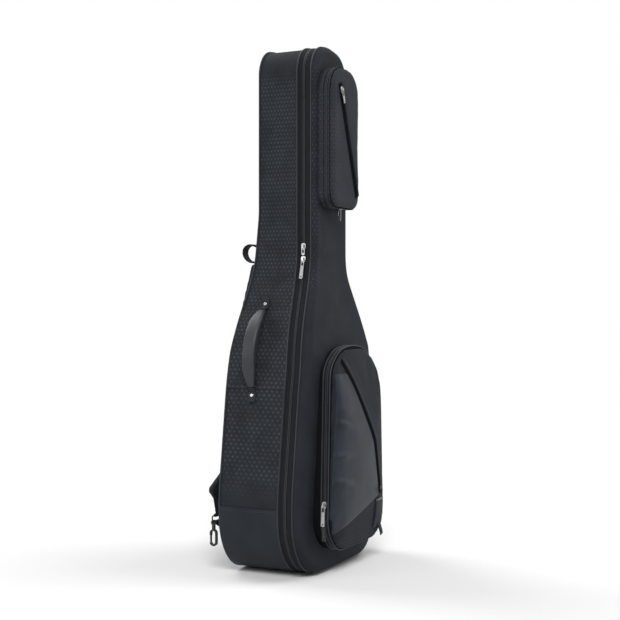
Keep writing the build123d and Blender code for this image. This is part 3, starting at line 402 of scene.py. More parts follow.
def smoothed(points, count):
    """An evenly spaced path whose kinks are eased."""
    path = spaced(points, count)[0]
    for _ in range(60):
        path[1:-1] = (path[:-2] + path[2:] + 2 * path[1:-1]) / 4
    return path


def inside_of(build, margin):
    """Test of which points of the front view lie inside an outline's margin."""
    outline = build(400)
    rim = outline.points - outline.normals * margin

    def test(flat):
        crossings = np.zeros(len(flat), int)
        for (x0, z0), (x1, z1) in zip(rim[:-1], rim[1:]):
            level_with = (flat[:, 1] > min(z0, z1)) & (flat[:, 1] <= max(z0, z1))
            if level_with.any() and z1 != z0:
                crossings += level_with & (flat[:, 0] < x0 + (flat[:, 1] - z0) * (x1 - x0) / (z1 - z0))
        return crossings % 2 == 1

    return test


# ==== Meshes: every soft piece is a grid laid over a form ===============================================
def stand(flat, depth):
    """Points of the front view at a depth."""
    return np.stack([flat[..., 0], depth, flat[..., 1]], axis=-1)


def unrolled(along, across):
    """UV map of a grid from its distances along and across."""
    return np.stack(np.broadcast_arrays(along[None, :], across[:, None]), axis=2)


def deselect():
    """Leave nothing selected."""
    for thing in bpy.context.selected_objects:
        thing.select_set(False)


def take(piece):
    """Make a piece the only selected one and the active one."""
    deselect()
    piece.select_set(True)
    bpy.context.view_layer.objects.active = piece


def mend(piece, merge=0.0, fill=False, turn=True):
    """Join vertices that meet, close the open ends and turn the faces outwards, as asked."""
    mesh = bpy.ops.mesh
    take(piece)
    bpy.ops.object.mode_set(mode="EDIT")
    mesh.select_all(action="SELECT")
    if merge:
        mesh.remove_doubles(threshold=merge)
    if fill:
        mesh.select_all(action="DESELECT")
        mesh.select_non_manifold(extend=False, use_wire=False, use_multi_face=False, use_non_contiguous=False)
        mesh.edge_face_add()
        mesh.select_all(action="SELECT")
    if turn:
        mesh.normals_make_consistent(inside=False)
    bpy.ops.object.mode_set(mode="OBJECT")


def read_points(mesh):
    """Coordinates of a mesh's vertices."""
    places = np.empty(len(mesh.vertices) * 3, np.float32)
    mesh.vertices.foreach_get("co", places)
    return places.reshape(-1, 3).astype(float)


def write_points(mesh, places):
    """Move a mesh's vertices to new coordinates."""
    mesh.vertices.foreach_set("co", np.ascontiguousarray(places, np.float32).ravel())
    mesh.update()


def laid(name, places, flat, fill=True):
    """Grid primitive whose vertices lie at places[row][column], with its UV map in metres."""
    rows, columns = places.shape[:2]
    deselect()
    bpy.ops.mesh.primitive_grid_add(x_subdivisions=columns - 1, y_subdivisions=rows - 1, size=1)
    piece = bpy.context.object
    mesh = piece.data
    piece.name = mesh.name = name
    write_points(mesh, places)
    corners = np.empty(len(mesh.loops), np.int32)
    mesh.loops.foreach_get("vertex_index", corners)
    flat = np.ascontiguousarray(flat.reshape(-1, 2)[corners], np.float32)
    mesh.uv_layers[0].data.foreach_set("uv", flat.ravel())
    mend(piece, 0.00002, fill)
    return piece


def swept(name, outline, section, centre=None, relief=None):
    """Piece that follows an outline.

    A section point is (offset outwards, depth line), or (offset, depth line, share) where the share is
    how far the point lies towards the centre line. The relief moves the finished points.
    """
    rows = []
    for offset, line, *shares in section:
        flat = outline.points + outline.normals * offset
        for share in shares:
            flat = flat * (1 - share) + centre(flat) * share
        rows.append(stand(flat, line(flat[:, 0], flat[:, 1])))
    places = np.array(rows)
    steps = np.linalg.norm(np.diff(places, axis=0), axis=2).mean(axis=1)
    across = np.concatenate([[0.0], np.cumsum(steps)])
    across -= across[next(index for index, entry in enumerate(section) if not any(entry[2:]))]
    flat = unrolled(outline.along, across)
    return laid(name, relief(places) if relief else places, flat, fill=not outline.closed)


def round_section(offset, line, radius, sides=10):
    """Closed round section about a point beside the outline."""
    turns = [math.tau * side / sides for side in range(sides + 1)]
    return [(offset + radius * math.cos(turn), moved(line, radius * math.sin(turn))) for turn in turns]


def unevenness(rows, amount, scale, push, seed, sunk=0.0):
    """Relief that moves some rows along a direction by smooth, slow unevenness, as hand-sewn foam has."""
    shift = Vector((seed, seed * 1.7, -seed))

    def relief(places):
        body = places.copy()
        part = places[rows]
        heights = np.array([noise.noise(Vector(point) * scale + shift) for point in part.reshape(-1, 3)])
        body[rows] += (heights * amount).reshape(part.shape[:2])[..., None] * push - push * sunk
        return body

    return relief


def outward(outline):
    """Directions in which an outline's stations face."""
    return stand(outline.normals, 0 * outline.along)[None]


def patch(name, left, right, columns, rows, surface, lift, thickness):
    """Closed sheet over a surface between two paths of the front view.

    Lift and thickness are functions of the shares across and along, and stand out towards the front.
    """
    left, right = spaced(left, rows)[0], spaced(right, rows)[0]
    across = np.linspace(0, 1, columns)[None, :, None]
    flat = left[:, None, :] * (1 - across) + right[:, None, :] * across
    u, v = np.meshgrid(np.linspace(0, 1, columns), np.linspace(0, 1, rows))
    under = surface(flat[..., 0], flat[..., 1]) - lift(u, v)
    lower, upper = stand(flat, under), stand(flat, under - thickness(u, v))
    places = np.concatenate([lower[:, ::-1], upper, lower[:, -1:]], axis=1)
    return laid(name, places, places[..., ::2])


def band(name, line, normals, width, thickness, across):
    """Flat strap that follows a 3D line, with its width along a direction and rounded edges."""
    shares = np.linspace(-1, 1, 7)
    top = [(share * width / 2, thickness / 2 * (1 if abs(share) < 1 else 0.35)) for share in shares]
    loop = np.array([*top, *[(x, -y) for x, y in reversed(top)], top[0]])
    places = np.array([line + np.array(across) * x + normals * y for x, y in loop])
    return laid(name, places, unrolled(travel(line), loop[:, 0]))


def stitches(name, line, outwards, body):
    """Row of stitches on a line: each is a small bead with its own mesh part."""
    line = np.array(line, float)
    outwards = np.broadcast_to(np.array(outwards, float), line.shape)
    steps = travel(line)
    count = max(2, int(steps[-1] / finishes().stitch_pitch))
    places = np.linspace(0, steps[-1], count * 2 + 1)
    centre, normal = [
        np.stack([np.interp(places, steps, axis) for axis in part.T], axis=1) for part in (line, outwards)
    ]
    start, reach = centre[:-1:2], centre[1::2] - centre[:-1:2]
    ahead, up = unit(reach), normal[:-1:2]
    up = unit(up - ahead * (up * ahead).sum(axis=1)[:, None])
    side = np.cross(ahead, up)
    half = 0.00038
    rings = [(0.0, 0.35), (0.45, 1.0), (1.05, 1.0), (1.5, 0.35)]
    turns = [math.pi * turn / 4 for turn in range(5)]
    verts = np.stack(
        [
            start + reach * at + (side * math.cos(turn) + up * math.sin(turn)) * (half * thick)
            for at, thick in rings
            for turn in turns
        ],
        axis=1,
    )
    quads = [
        (first + turn, first + (turn + 1) % 5, first + 5 + (turn + 1) % 5, first + 5 + turn)
        for first in (0, 5, 10)
        for turn in range(5)
    ]
    shape = [*quads, (4, 3, 2, 1, 0), (15, 16, 17, 18, 19)]
    faces = [[corner + 20 * index for corner in face] for index in range(count) for face in shape]
    mesh = bpy.data.meshes.new(name)
    mesh.from_pydata(verts.reshape(-1, 3).tolist(), [], faces)
    piece = bpy.data.objects.new(name, mesh)
    bpy.context.scene.collection.objects.link(piece)
    mend(piece)
    return finish(piece, body, "Thread")


def covering(piece, fallback, facing=FRONT):
    """Surface function of a finished piece: the depth at which it is met from the front or from the back."""
    tree = BVHTree.FromObject(piece, bpy.context.evaluated_depsgraph_get())

    def surface(x, z):
        x, z = np.broadcast_arrays(x, z)
        found = fallback(x, z).astype(float).copy()
        for index in np.ndindex(x.shape):
            hit = tree.ray_cast(Vector((x[index], facing, z[index])), Vector((0, -facing, 0)), 2.0)[0]
            if hit is not None:
                found[index] = hit.y
        return found

    return surface


def sewn(name, flat, surface, body, facing=FRONT, lift=0.0):
    """Row of stitches along a path of the front view, on a piece's surface."""
    depth = surface(flat[:, 0], flat[:, 1]) + facing * lift
    return stitches(name, stand(flat, depth), (0, facing, 0), body)


def applied(piece, kind, **settings):
    """Add a modifier with its settings and apply it."""
    take(piece)
    modifier = piece.modifiers.new(kind.title(), kind)
    for key, value in settings.items():
        setattr(modifier, key, value)
    bpy.ops.object.modifier_apply(modifier=modifier.name)


def softened(node, name, body, slot, material, voxel, smooth, padded=None, angle=60.0, shape=None):
    """Foam piece from a CAD solid: remeshed evenly, with its corners rounded by smoothing."""
    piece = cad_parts[node].copy()
    piece.data = piece.data.copy()
    piece.name = name
    for key in list(piece.keys()):
        del piece[key]
    piece.parent = None
    bpy.context.scene.collection.objects.link(piece)
    piece.hide_render = False
    mend(piece, 0.00001, turn=False)
    applied(piece, "REMESH", mode="VOXEL", voxel_size=voxel)
    applied(piece, "SMOOTH", factor=0.5, iterations=smooth)
    if shape:
        shape(piece)
    return finish(piece, body, material, [node], angle)


CLOTH = {
    "vertex_group_mass": "seam",
    "use_pressure": True,
    "uniform_pressure_force": 3.0,
    "quality": 6,
    "mass": 0.25,
    "air_damping": 4.0,
    "tension_stiffness": 18.0,
    "compression_stiffness": 18.0,
    "bending_stiffness": 1.2,
}
CLOTH_FRAMES = 20


def simulated(piece, held, slack):
    """Where the points of a fabric skin lie after it has swollen under pressure from its held seams."""
    seam = piece.vertex_groups.new(name="seam")
    seam.add([int(index) for index in np.flatnonzero(held)], 1.0, "REPLACE")
    take(piece)
    cloth = piece.modifiers.new("Cloth", "CLOTH")
    for key, value in {**CLOTH, "shrink_min": -slack, "shrink_max": -slack}.items():
        setattr(cloth.settings, key, value)
    cloth.settings.effector_weights.gravity = 0.0
    cloth.point_cache.frame_start = 1
    cloth.point_cache.frame_end = CLOTH_FRAMES
    for frame_number in range(1, CLOTH_FRAMES + 1):
        bpy.context.scene.frame_set(frame_number)
    graph = bpy.context.evaluated_depsgraph_get()
    swollen = read_points(piece.evaluated_get(graph).data)
    piece.modifiers.remove(cloth)
    bpy.context.scene.frame_set(1)
    piece.vertex_groups.remove(seam)
    return swollen


def blown(piece, voxel, held, slack, limit, calm):
    """Padded fabric by cloth simulation.

    Held tells for a point whether its seam holds it, slack is the fabric's spare size, the limit moves
    the swollen points back to where the padding may stand, and calm is how often the front is smoothed.
    """
    applied(piece, "REMESH", mode="VOXEL", voxel_size=voxel)
    places = read_points(piece.data)
    write_points(piece.data, limit(places, simulated(piece, held(places), slack)))
    applied(piece, "SMOOTH", factor=0.5, iterations=2)
    front = piece.vertex_groups.new(name="front")
    front.add([int(index) for index in np.flatnonzero(~held(places))], 1.0, "REPLACE")
    applied(piece, "SMOOTH", factor=0.5, iterations=calm, vertex_group="front")
    piece.vertex_groups.clear()
    applied(piece, "SUBSURF", levels=1, render_levels=1)


def finish(piece, body, material, nodes=(), angle=40.0):
    """Ride a piece on its body and give it its finish."""
    take(piece)
    bpy.ops.object.shade_smooth_by_angle(angle=math.radians(angle))
    piece.data.materials.clear()
    piece.data.materials.append(FINISHES[material])
    if nodes:
        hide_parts(*nodes)
    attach(piece, body)
    return piece


def sheet(piece):
    """Read a piece's vertex coordinates; nothing is declared or kept. Declare a piece
    as a sheet of cloth whose cut is half of its whole surface.
    """
    points = read_points(piece.data)


def finish_cad(names, material, bevel=0.0):
    """Give carried-over CAD nodes their material, and soften their edges with a live bevel."""
    for name in names:
        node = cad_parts[name]
        node.data.materials.clear()
        node.data.materials.append(FINISHES[material])
        if bevel:
            weld = node.modifiers.new("Weld", "WELD")
            weld.merge_threshold = 0.00001
            soft = node.modifiers.new("Bevel", "BEVEL")
            soft.width = bevel
            soft.segments = 2
            soft.limit_method = "ANGLE"
            soft.angle_limit = math.radians(35)


# ==== Shading groups and finishes =====================================================================
class Tree:
    """A node tree with short ways to add the nodes that the finishes use."""

    def __init__(self, tree):
        self.tree = tree

    def join(self, value, socket):
        """Link a socket, or set a plain value."""
        if isinstance(value, bpy.types.NodeSocket):
            self.tree.links.new(value, socket)
        else:
            socket.default_value = value

    def add(self, kind, inputs, **settings):
        """New node with its settings, and its inputs by name or number. Returns its outputs."""
        node = self.tree.nodes.new("ShaderNode" + kind)
        for key, value in settings.items():
            setattr(node, key, value)
        for key, value in inputs.items():
            self.join(value, node.inputs[key])
        return node.outputs

    def math(self, operation, *values):
        return self.add("Math", dict(enumerate(values)), operation=operation)[0]

    def scaled(self, vector, factor):
        return self.add("VectorMath", {0: vector, "Scale": factor}, operation="SCALE")[0]

    def split(self, vector):
        return self.add("SeparateXYZ", {0: vector})

    def clouds(self, vector, scale, detail, rough=0.5):
        return self.add("TexNoise", {"Vector": vector, "Scale": scale, "Detail": detail, "Roughness": rough})

    def spread(self, value, low, high, to_low=0.0, to_high=1.0):
        """Map a range onto another, smoothly and within its ends."""
        values = dict(enumerate((value, low, high, to_low, to_high)))
        return self.add("MapRange", values, interpolation_type="SMOOTHSTEP")[0]


def group(name, inputs, outputs):
    """New shading group. Returns its tree, the sockets that it gets and those that it gives.

    An input's default tells its kind: none is a vector, a tuple a colour and a number a value.
    """
    kinds = {type(None): "NodeSocketVector", tuple: "NodeSocketColor", float: "NodeSocketFloat"}
    tree = bpy.data.node_groups.new(name, "ShaderNodeTree")
    for label, default in inputs.items():
        socket = tree.interface.new_socket(label, in_out="INPUT", socket_type=kinds[type(default)])
        if default is not None:
            socket.default_value = default
    for label in outputs:
        kind = kinds[tuple if label == "Colour" else float]
        tree.interface.new_socket(label, in_out="OUTPUT", socket_type=kind)
    return Tree(tree), tree.nodes.new("NodeGroupInput").outputs, tree.nodes.new("NodeGroupOutput").inputs


def make_weave():
    """Plain weave: over and under threads, with slow unevenness."""
    work, given, result = group("Weave", {"Vector": None, "Pitch": 0.0008}, ["Height", "Shade"])
    x, y, z = work.split(given["Vector"])
    rate = work.math("DIVIDE", math.tau, given["Pitch"])
    first = work.math("SINE", work.math("MULTIPLY", work.math("ADD", x, y), rate))
    second = work.math("SINE", work.math("MULTIPLY", work.math("SUBTRACT", z, y), rate))
    work.join(work.math("MULTIPLY", first, second), result["Height"])
    work.join(work.clouds(given["Vector"], 22.0, 6.0, 0.62)[0], result["Shade"])


def make_grain():
    """Leather grain: small uneven cells with fine creases, and a slow change of shade."""
    work, given, result = group("Leather grain", {"Vector": None, "Cells": 600.0}, ["Height", "Shade"])
    bent = work.clouds(given["Vector"], 90.0, 3.0)[1]
    shift = {0: bent, 1: (0.004, 0.004, 0.004), 2: given["Vector"]}
    shifted = work.add("VectorMath", shift, operation="MULTIPLY_ADD")[0]
    values = {"Vector": shifted, "Scale": given["Cells"], "Smoothness": 0.35}
    cells = work.add("TexVoronoi", values, feature="SMOOTH_F1")[0]
    creases = work.clouds(given["Vector"], work.math("MULTIPLY", given["Cells"], 0.3), 5.0)[0]
    fine = work.math("MULTIPLY", creases, 0.6)
    work.join(work.math("SUBTRACT", fine, cells), result["Height"])
    work.join(work.clouds(given["Vector"], 14.0, 5.0)[0], result["Shade"])


def make_triangles():
    """Pressed triangles: three families of fine ridges at sixty degrees, highest where they cross."""
    sockets = {"Vector": None, "Side": 0.01}
    work, given, result = group("Pressed triangles", sockets, ["Height", "Crossings"])
    x, y, _ = work.split(given["Vector"])
    row = work.math("MULTIPLY", given["Side"], math.sin(math.radians(60)))
    total = 0.0
    for turn in (0, math.pi / 3, math.tau / 3):
        along = work.math("MULTIPLY", x, math.cos(turn))
        across = work.math("MULTIPLY_ADD", y, math.sin(turn), along)
        gap = work.math("PINGPONG", work.math("DIVIDE", across, row), 0.5)
        total = work.math("ADD", total, work.spread(gap, 0.28, 0.0))
    work.join(work.math("MULTIPLY", total, 0.3333), result["Height"])
    work.join(work.spread(total, 0.95, 2.3), result["Crossings"])


def make_ribs():
    """Ribs along and across a band, as on zip tape."""
    work, given, result = group(
        "Ribs", {"Vector": None, "Long pitch": 0.0016, "Cross pitch": 0.0022}, ["Height"]
    )
    x, y, _ = work.split(given["Vector"])
    along = work.math("DIVIDE", x, given["Long pitch"])
    across = work.math("DIVIDE", y, given["Cross pitch"])
    first = work.math("SINE", work.math("MULTIPLY", along, math.tau))
    second = work.math("ABSOLUTE", work.math("SINE", work.math("MULTIPLY", across, math.pi)))
    work.join(work.math("MULTIPLY_ADD", first, 0.35, second), result["Height"])


def make_wear():
    """Wear, dust and painted glint: a colour made lighter on edges and in patches, with rougher patches, then
    scaled by a painted glint and shade.
    """
    values = {"Shade": 0.5, "Amount": 0.3, "Rough": 0.6, "Painted glint and shade": 0.0}
    sockets = {"Colour": (0.02, 0.02, 0.02, 1), "Vector": None, **values}
    work, given, result = group("Wear and dust", sockets, ["Colour", "Roughness"])
    patches = work.spread(work.clouds(given["Vector"], 5.0, 8.0, 0.7)[0], 0.42, 0.72)
    edges = work.spread(work.add("NewGeometry", {})["Pointiness"], 0.51, 0.60)
    worn = work.math("MULTIPLY_ADD", patches, 0.5, edges)
    share = work.math("MULTIPLY", worn, given["Amount"])
    toned = work.scaled(given["Colour"], work.spread(given["Shade"], 0.2, 0.8, 0.82, 1.2))
    lighter = work.scaled(given["Colour"], 1.9)
    mixed = work.add("Mix", {"Factor": share, 6: toned, 7: lighter}, data_type="RGBA")[2]
    # Painted highlight and shade: the colour is scaled up by a positive glint and down by a negative one.
    bright = work.scaled(mixed, work.math("ADD", given["Painted glint and shade"], 1.0))
    work.join(bright, result["Colour"])
    work.join(work.math("MULTIPLY_ADD", share, 0.12, given["Rough"]), result["Roughness"])


class Finish(Tree):
    """Material with its shader, its coordinates and the group of wear, dust and painted glint."""

    def __init__(self, name, base, rough, specular, sheen=0.0, coat=0.0, metal=0.0, wear=0.3):
        material = bpy.data.materials.new(name)
        material.use_nodes = True
        super().__init__(material.node_tree)
        self.shader = self.tree.nodes["Principled BSDF"].inputs
        values = {
            "Specular IOR Level": specular,
            "Sheen Weight": sheen,
            "Sheen Roughness": 0.45,
            "Sheen Tint": (0.75, 0.79, 0.88, 1),
            "Coat Weight": coat,
            "Coat Roughness": 0.32,
            "Metallic": metal,
        }
        for label, value in values.items():
            self.join(value, self.shader[label])
        self.place = self.add("TexCoord", {})
        # This group node also paints the glint and shade that the embossed finishes feed it.
        self.worn = self.tree.nodes.new("ShaderNodeGroup")
        self.worn.node_tree = bpy.data.node_groups["Wear and dust"]
        values = {"Colour": (*base, 1), "Amount": wear, "Rough": rough, "Vector": self.place["Object"]}
        for label, value in values.items():
            self.join(value, self.worn.inputs[label])
        self.join(self.worn.outputs["Colour"], self.shader["Base Color"])
        self.join(self.worn.outputs["Roughness"], self.shader["Roughness"])
        FINISHES[name] = material

    def placed(self, name, **values):
        """A shading group with its own values, on the object's coordinates unless others are given."""
        inputs = {"Vector": self.place["Object"], **{key.replace("_", " "): values[key] for key in values}}
        return self.add("Group", inputs, node_tree=bpy.data.node_groups[name])

    def shaded(self, name, **values):
        """A shading group whose shade also changes the colour."""
        given = self.placed(name, **values)
        self.join(given["Shade"], self.worn.inputs["Shade"])
        return given

    def bumped(self, *layers):
        """Chain of bump nodes, one for each (height, strength, distance)."""
        under = {}
        for height, strength, distance in layers:
            values = {"Strength": strength, "Distance": distance, "Height": height}
            under = {"Normal": self.add("Bump", {**values, **under})[0]}
        self.join(under["Normal"], self.shader["Normal"])


def fabric(name, base, rough, sheen, pitch, specular, shade_bump, weave_bump):
    """Woven fabric. A bump is its strength and distance."""
    look = Finish(name, base, rough, specular, sheen, wear=0.25)
    weave = look.shaded("Weave", Pitch=pitch)
    layers = ((weave["Shade"], shade_bump), (weave["Height"], weave_bump))
    look.bumped(*[(height, *bump) for height, bump in layers if bump])


def embossed(name, base, rough, flat, fade, strength, glint):
    """Fabric pressed with triangles, whose ridges and crossings are painted lighter and whose ground is
    painted darker, as painted highlight and shade. Flat gives the pattern's own coordinates, fade tells where
    the relief and the painted glint show.
    """
    look = Finish(name, base, rough, 0.08, wear=0.25)
    weave = look.shaded("Weave", Pitch=0.0009)
    pressed = look.placed("Pressed triangles", Vector=flat(look), Side=finishes().emboss)
    shown = look.math("MULTIPLY", fade(look), look.spread(weave["Shade"], 0.30, 0.62, 0.35, 1.0))
    raised = look.math("MULTIPLY", pressed["Height"], shown)
    glint_dots = look.math("MULTIPLY", pressed["Crossings"], shown)
    # Painted highlight on the ridges and crossings, less a painted shade over the pattern's ground.
    lit = look.math("MULTIPLY_ADD", raised, glint * 0.5, look.math("MULTIPLY", glint_dots, glint))
    look.join(look.math("SUBTRACT", lit, glint * 0.22), look.worn.inputs["Painted glint and shade"])
    look.bumped((raised, strength, 0.0016), (weave["Height"], 0.08, 0.0002))


def own_map(look):
    """The piece's own UV map, in metres."""
    return look.place["UV"]


def front_map(look):
    """Height, and the distance round from the side to the front."""
    x, y, z = look.split(look.place["Object"])
    return look.add("CombineXYZ", {0: z, 1: look.math("SUBTRACT", y, x)})[0]


def between_heights(*spans):
    """Fade that shows a pattern between heights, each span being (start, full)."""

    def fade(look):
        height = look.split(look.place["Object"])[2]
        shown = 1.0
        for span in spans:
            shown = look.math("MULTIPLY", look.spread(height, *span), shown)
        return shown

    return fade


def near_edge(low, high):
    """Fade that shows a pattern along the neck, between two distances across the piece's own map."""

    def fade(look):
        across = look.split(look.place["UV"])[1]
        rising, falling = look.spread(across, low, low + 0.006), look.spread(across, high, high - 0.012)
        shown = look.math("MULTIPLY", rising, falling)
        return look.math("MULTIPLY", shown, between_heights((0.560, 0.640), (1.120, 1.060))(look))

    return fade


def left_part(start, full):
    """Fade that shows a pattern towards the left of the front view."""
    return lambda look: look.spread(look.split(look.place["Object"])[0], start, full)


def make_finishes():
    """Build the shading groups once, and then every material."""
    size = finishes()
    for make in (make_weave, make_grain, make_triangles, make_ribs, make_wear):
        make()
    side, foot = between_heights((0.150, 0.250), (1.085, 1.030)), between_heights((0.085, 0.070))
    # Painted shade: the lower pocket's fabric is the smooth fabric at 0.8, darker where it curves under away
    # from the light.
    shaded_smooth = [0.8 * part for part in size.smooth]
    embossed("Embossed fabric", size.shell, 0.66, own_map, side, 0.9, 1.05)
    embossed("Lid fabric", size.smooth, 0.66, own_map, near_edge(0.001, 0.040), 0.8, 0.75)
    embossed("Upper pocket fabric", size.pocket, 0.60, front_map, left_part(-0.030, -0.070), 0.8, 0.6)
    embossed("Lower pocket fabric", shaded_smooth, 0.62, front_map, foot, 0.4, 0.6)
    for name, base, *values in (
        # Painted shade fabric: near-black, standing for shadow in recesses and openings.
        ("Wall fabric", size.wall, 0.80, 0.0, 0.0006, 0.03, None, (0.12, 0.0002)),
        ("Smooth fabric", size.smooth, 0.66, 0.0, 0.0006, 0.08, (0.25, 0.004), (0.12, 0.0002)),
        ("Strap fabric", size.webbing, 0.75, 0.03, 0.0014, 0.12, None, (0.35, 0.0005)),
        ("Plush", size.plush, 0.95, 0.50, 0.0030, 0.05, (0.6, 0.003), (0.25, 0.0008)),
    ):
        fabric(name, base, *values)
    for name, base, rough, cells, coat, strength, specular in (
        ("Base leather", size.guard, 0.58, 900.0, 0.0, 0.25, 0.12),
        ("Panel leather", size.panel, 0.42, 700.0, 0.0, 0.30, 0.15),
        ("Handle leather", size.handle, 0.42, 800.0, 0.0, 0.20, 0.35),
        ("Piping", size.piping, 0.50, 1400.0, 0.0, 0.10, 0.22),
        ("Thread", size.thread, 0.60, 2500.0, 0.0, 0.30, 0.20),
        ("Zip teeth", size.teeth, 0.42, 2000.0, 0.0, 0.05, 0.35),
        ("Rubber", size.rubber, 0.85, 1500.0, 0.0, 0.25, 0.20),
        ("Black metal", size.black_metal, 0.36, 3000.0, 0.1, 0.03, 0.40),
    ):
        look = Finish(name, base, rough, specular, coat=coat)
        grain = look.shaded("Leather grain", Cells=cells)
        look.bumped((grain["Shade"], 0.20, 0.004), (grain["Height"], strength, 0.0005))
    look = Finish("Zip tape", size.tape, 0.72, 0.14, sheen=0.02)
    ribs = look.placed("Ribs", Vector=look.place["UV"], Long_pitch=0.0009, Cross_pitch=0.0021)
    look.bumped((ribs["Height"], 0.6, 0.0005))
    look = Finish("Bright metal", size.bright_metal, 0.24, 0.5, metal=1.0, wear=0.2)
    look.bumped((look.placed("Leather grain", Cells=1800.0)["Height"], 0.05, 0.0003))


# ==== Case ============================================================================================
class GigBagOperator(bpy.types.Operator):
    """Base of the operators that add the bag's pieces."""

    bl_options = {"REGISTER", "UNDO"}

    def execute(self, context):
        self.build()
        return {"FINISHED"}


class GIGBAG_OT_finishes(GigBagOperator):
    """Build the materials"""

    bl_idname = "gigbag.finishes"
    bl_label = "Finishes"

    def build(self):
        make_finishes()


class GIGBAG_OT_back(GigBagOperator):
    """Padded back panel with its sewn edge"""

    bl_idname = "gigbag.back"
    bl_label = "Back panel"

    def build(self):
        size = case()
        outline = bag_outline(RING_COUNT)
        rear = back_line()
        inner = moved(rear, -size.back_thickness)
        edge = ((-0.0030, 0.006), (-0.0008, 0.0020), (-0.0030, 0.0016), (-0.010, 0.0010), (-0.020, 0.0003))
        section = [
            (-size.gusset_thickness, inner, 1.0),
            (-size.gusset_thickness, inner),
            (-0.0040, inner),
            *[(offset, moved(rear, -sink)) for offset, sink in edge],
            *[(-0.030, rear, share) for share in (0.0, 0.1, 0.25, 0.4, 0.55, 0.7, 0.85, 1.0)],
        ]
        soft = unevenness(slice(5, -1), amount=0.0012, scale=16.0, push=DEPTHWISE, seed=3.0)

        def relief(places):
            body = soft(places)
            body[..., 1] = np.minimum(body[..., 1], places[..., 1])
            return body

        piece = swept("back_shell", outline, section, centre_line(), relief)
        finish(piece, "case", "Smooth fabric", ["back_panel"])
        surface = covering(piece, rear, BACK)
        for label, inset in (("outer", 0.012), ("inner", 0.016)):
            seam = outline.points - outline.normals * inset
            sewn(f"back_stitches_{label}", seam, surface, "case", BACK)


class GIGBAG_OT_gusset(GigBagOperator):
    """Deep padded side of the bag"""

    bl_idname = "gigbag.gusset"
    bl_label = "Side gusset"

    def build(self):
        size = case()
        outline = bag_outline(RING_COUNT)
        rear, front = moved(back_line(), -size.piping), rim_line()
        inner_rear = moved(back_line(), -size.back_thickness)
        dips = [(0.0, -0.0022), (0.02, -0.0008), (0.06, -0.0002), (0.12, 0.0)]
        shares = [*dips, *[(share, 0.0) for share in (0.25, 0.4, 0.5, 0.6, 0.75)]]
        shares += [(1 - share, dip) for share, dip in reversed(dips)]
        outer = [(dip, between(rear, front, share)) for share, dip in shares]
        deep = -size.gusset_thickness
        section = [*outer, (deep, front), (deep, inner_rear), (-0.004, inner_rear), outer[0]]
        padded = slice(2, len(outer) - 2)
        relief = unevenness(padded, amount=0.0014, scale=13.0, push=outward(outline), seed=1.0, sunk=0.0007)
        piece = swept("gusset_shell", outline, section, relief=relief)
        finish(piece, "case", "Embossed fabric", ["side_gusset"])


def wrapped(name, path, skin, material, node, label, **ends):
    """Skin wrapped over the gusset from piping to piping, with stitches at stations near its two ends."""
    size = case()
    rear, front = moved(back_line(), -size.piping), moved(rim_line(), size.piping)
    over = [(skin, between(rear, front, share)) for share in (0.01, 0.1, 0.3, 0.5, 0.7, 0.9, 0.99)]
    edge = skin * 0.7
    section = [(0.0, rear), (edge, rear), *over, (edge, front), (0.0, front), (0.0, rear)]
    piece = swept(name, path, section)
    finish(piece, "case", material, [node])
    sheet(piece)
    for end, station in ends.items():
        (x, z), (across, up) = path.points[station], path.normals[station]
        depths = [between(rear, front, share)(x, z) for share in np.linspace(0.02, 0.98, 30)]
        spots = [(x + across * skin, depth, z + up * skin) for depth in depths]
        stitches(f"{label}_stitches_{end}", spots, (across, 0, up), "case")


class GIGBAG_OT_base_guard(GigBagOperator):
    """Leather round the base, turned in at its stitched top edge"""

    bl_idname = "gigbag.base_guard"
    bl_label = "Base guard"

    def build(self):
        size = case()
        skin = size.guard_thickness

        def above(outline):
            return outline.points[:, 1] >= size.guard_height

        path = open_outline(bag_outline, RING_COUNT * 2, above)
        wrapped("base_guard_skin", path, skin, "Base leather", "base_guard", "guard", left=3, right=-4)


class GIGBAG_OT_piping(GigBagOperator):
    """Piping along the back edge, the rim and the lid"""

    bl_idname = "gigbag.piping"
    bl_label = "Piping"

    def build(self):
        size = case()
        radius = size.piping / 2
        whole, rim = bag_outline(RING_COUNT), rim_line()
        opened = open_outline(bag_outline, RING_COUNT, in_spine)
        lid_edge = moved(rim, -size.zip_band - 0.001 - radius)
        for name, path, offset, line, body, node in (
            ("back_piping_cord", whole, 0.0004, moved(back_line(), -radius), "case", "back_piping"),
            ("rim_piping_cord", opened, radius * 0.45, moved(rim, radius), "case", "gusset_piping"),
            ("lid_piping_cord", whole, radius * 0.6, lid_edge, "lid", "lid_piping"),
        ):
            piece = swept(name, path, round_section(offset, line, radius))
            finish(piece, body, "Piping", [node])


# Outer side of a zip's tape: the share of its width from the welt to the teeth, and the offset outwards.
TAPE_PROFILE = (
    (0.0, -0.0016), (0.05, 0.0), (0.11, 0.0004), (0.19, 0.0004), (0.24, -0.0013), (0.29, -0.0006),
    (0.44, -0.0004), (0.48, -0.0014), (0.53, -0.0008), (0.64, -0.0010), (0.74, -0.0012),
)
TAPE_BACK = -0.0027
# A tooth row's middle as an offset outwards, its distance from the zip's middle, and its teeth.
TOOTH_ROW = -0.0009
TOOTH_REACH = 0.0016
TOOTH_RADIUS = 0.0012
TOOTH_SWELL = 0.28


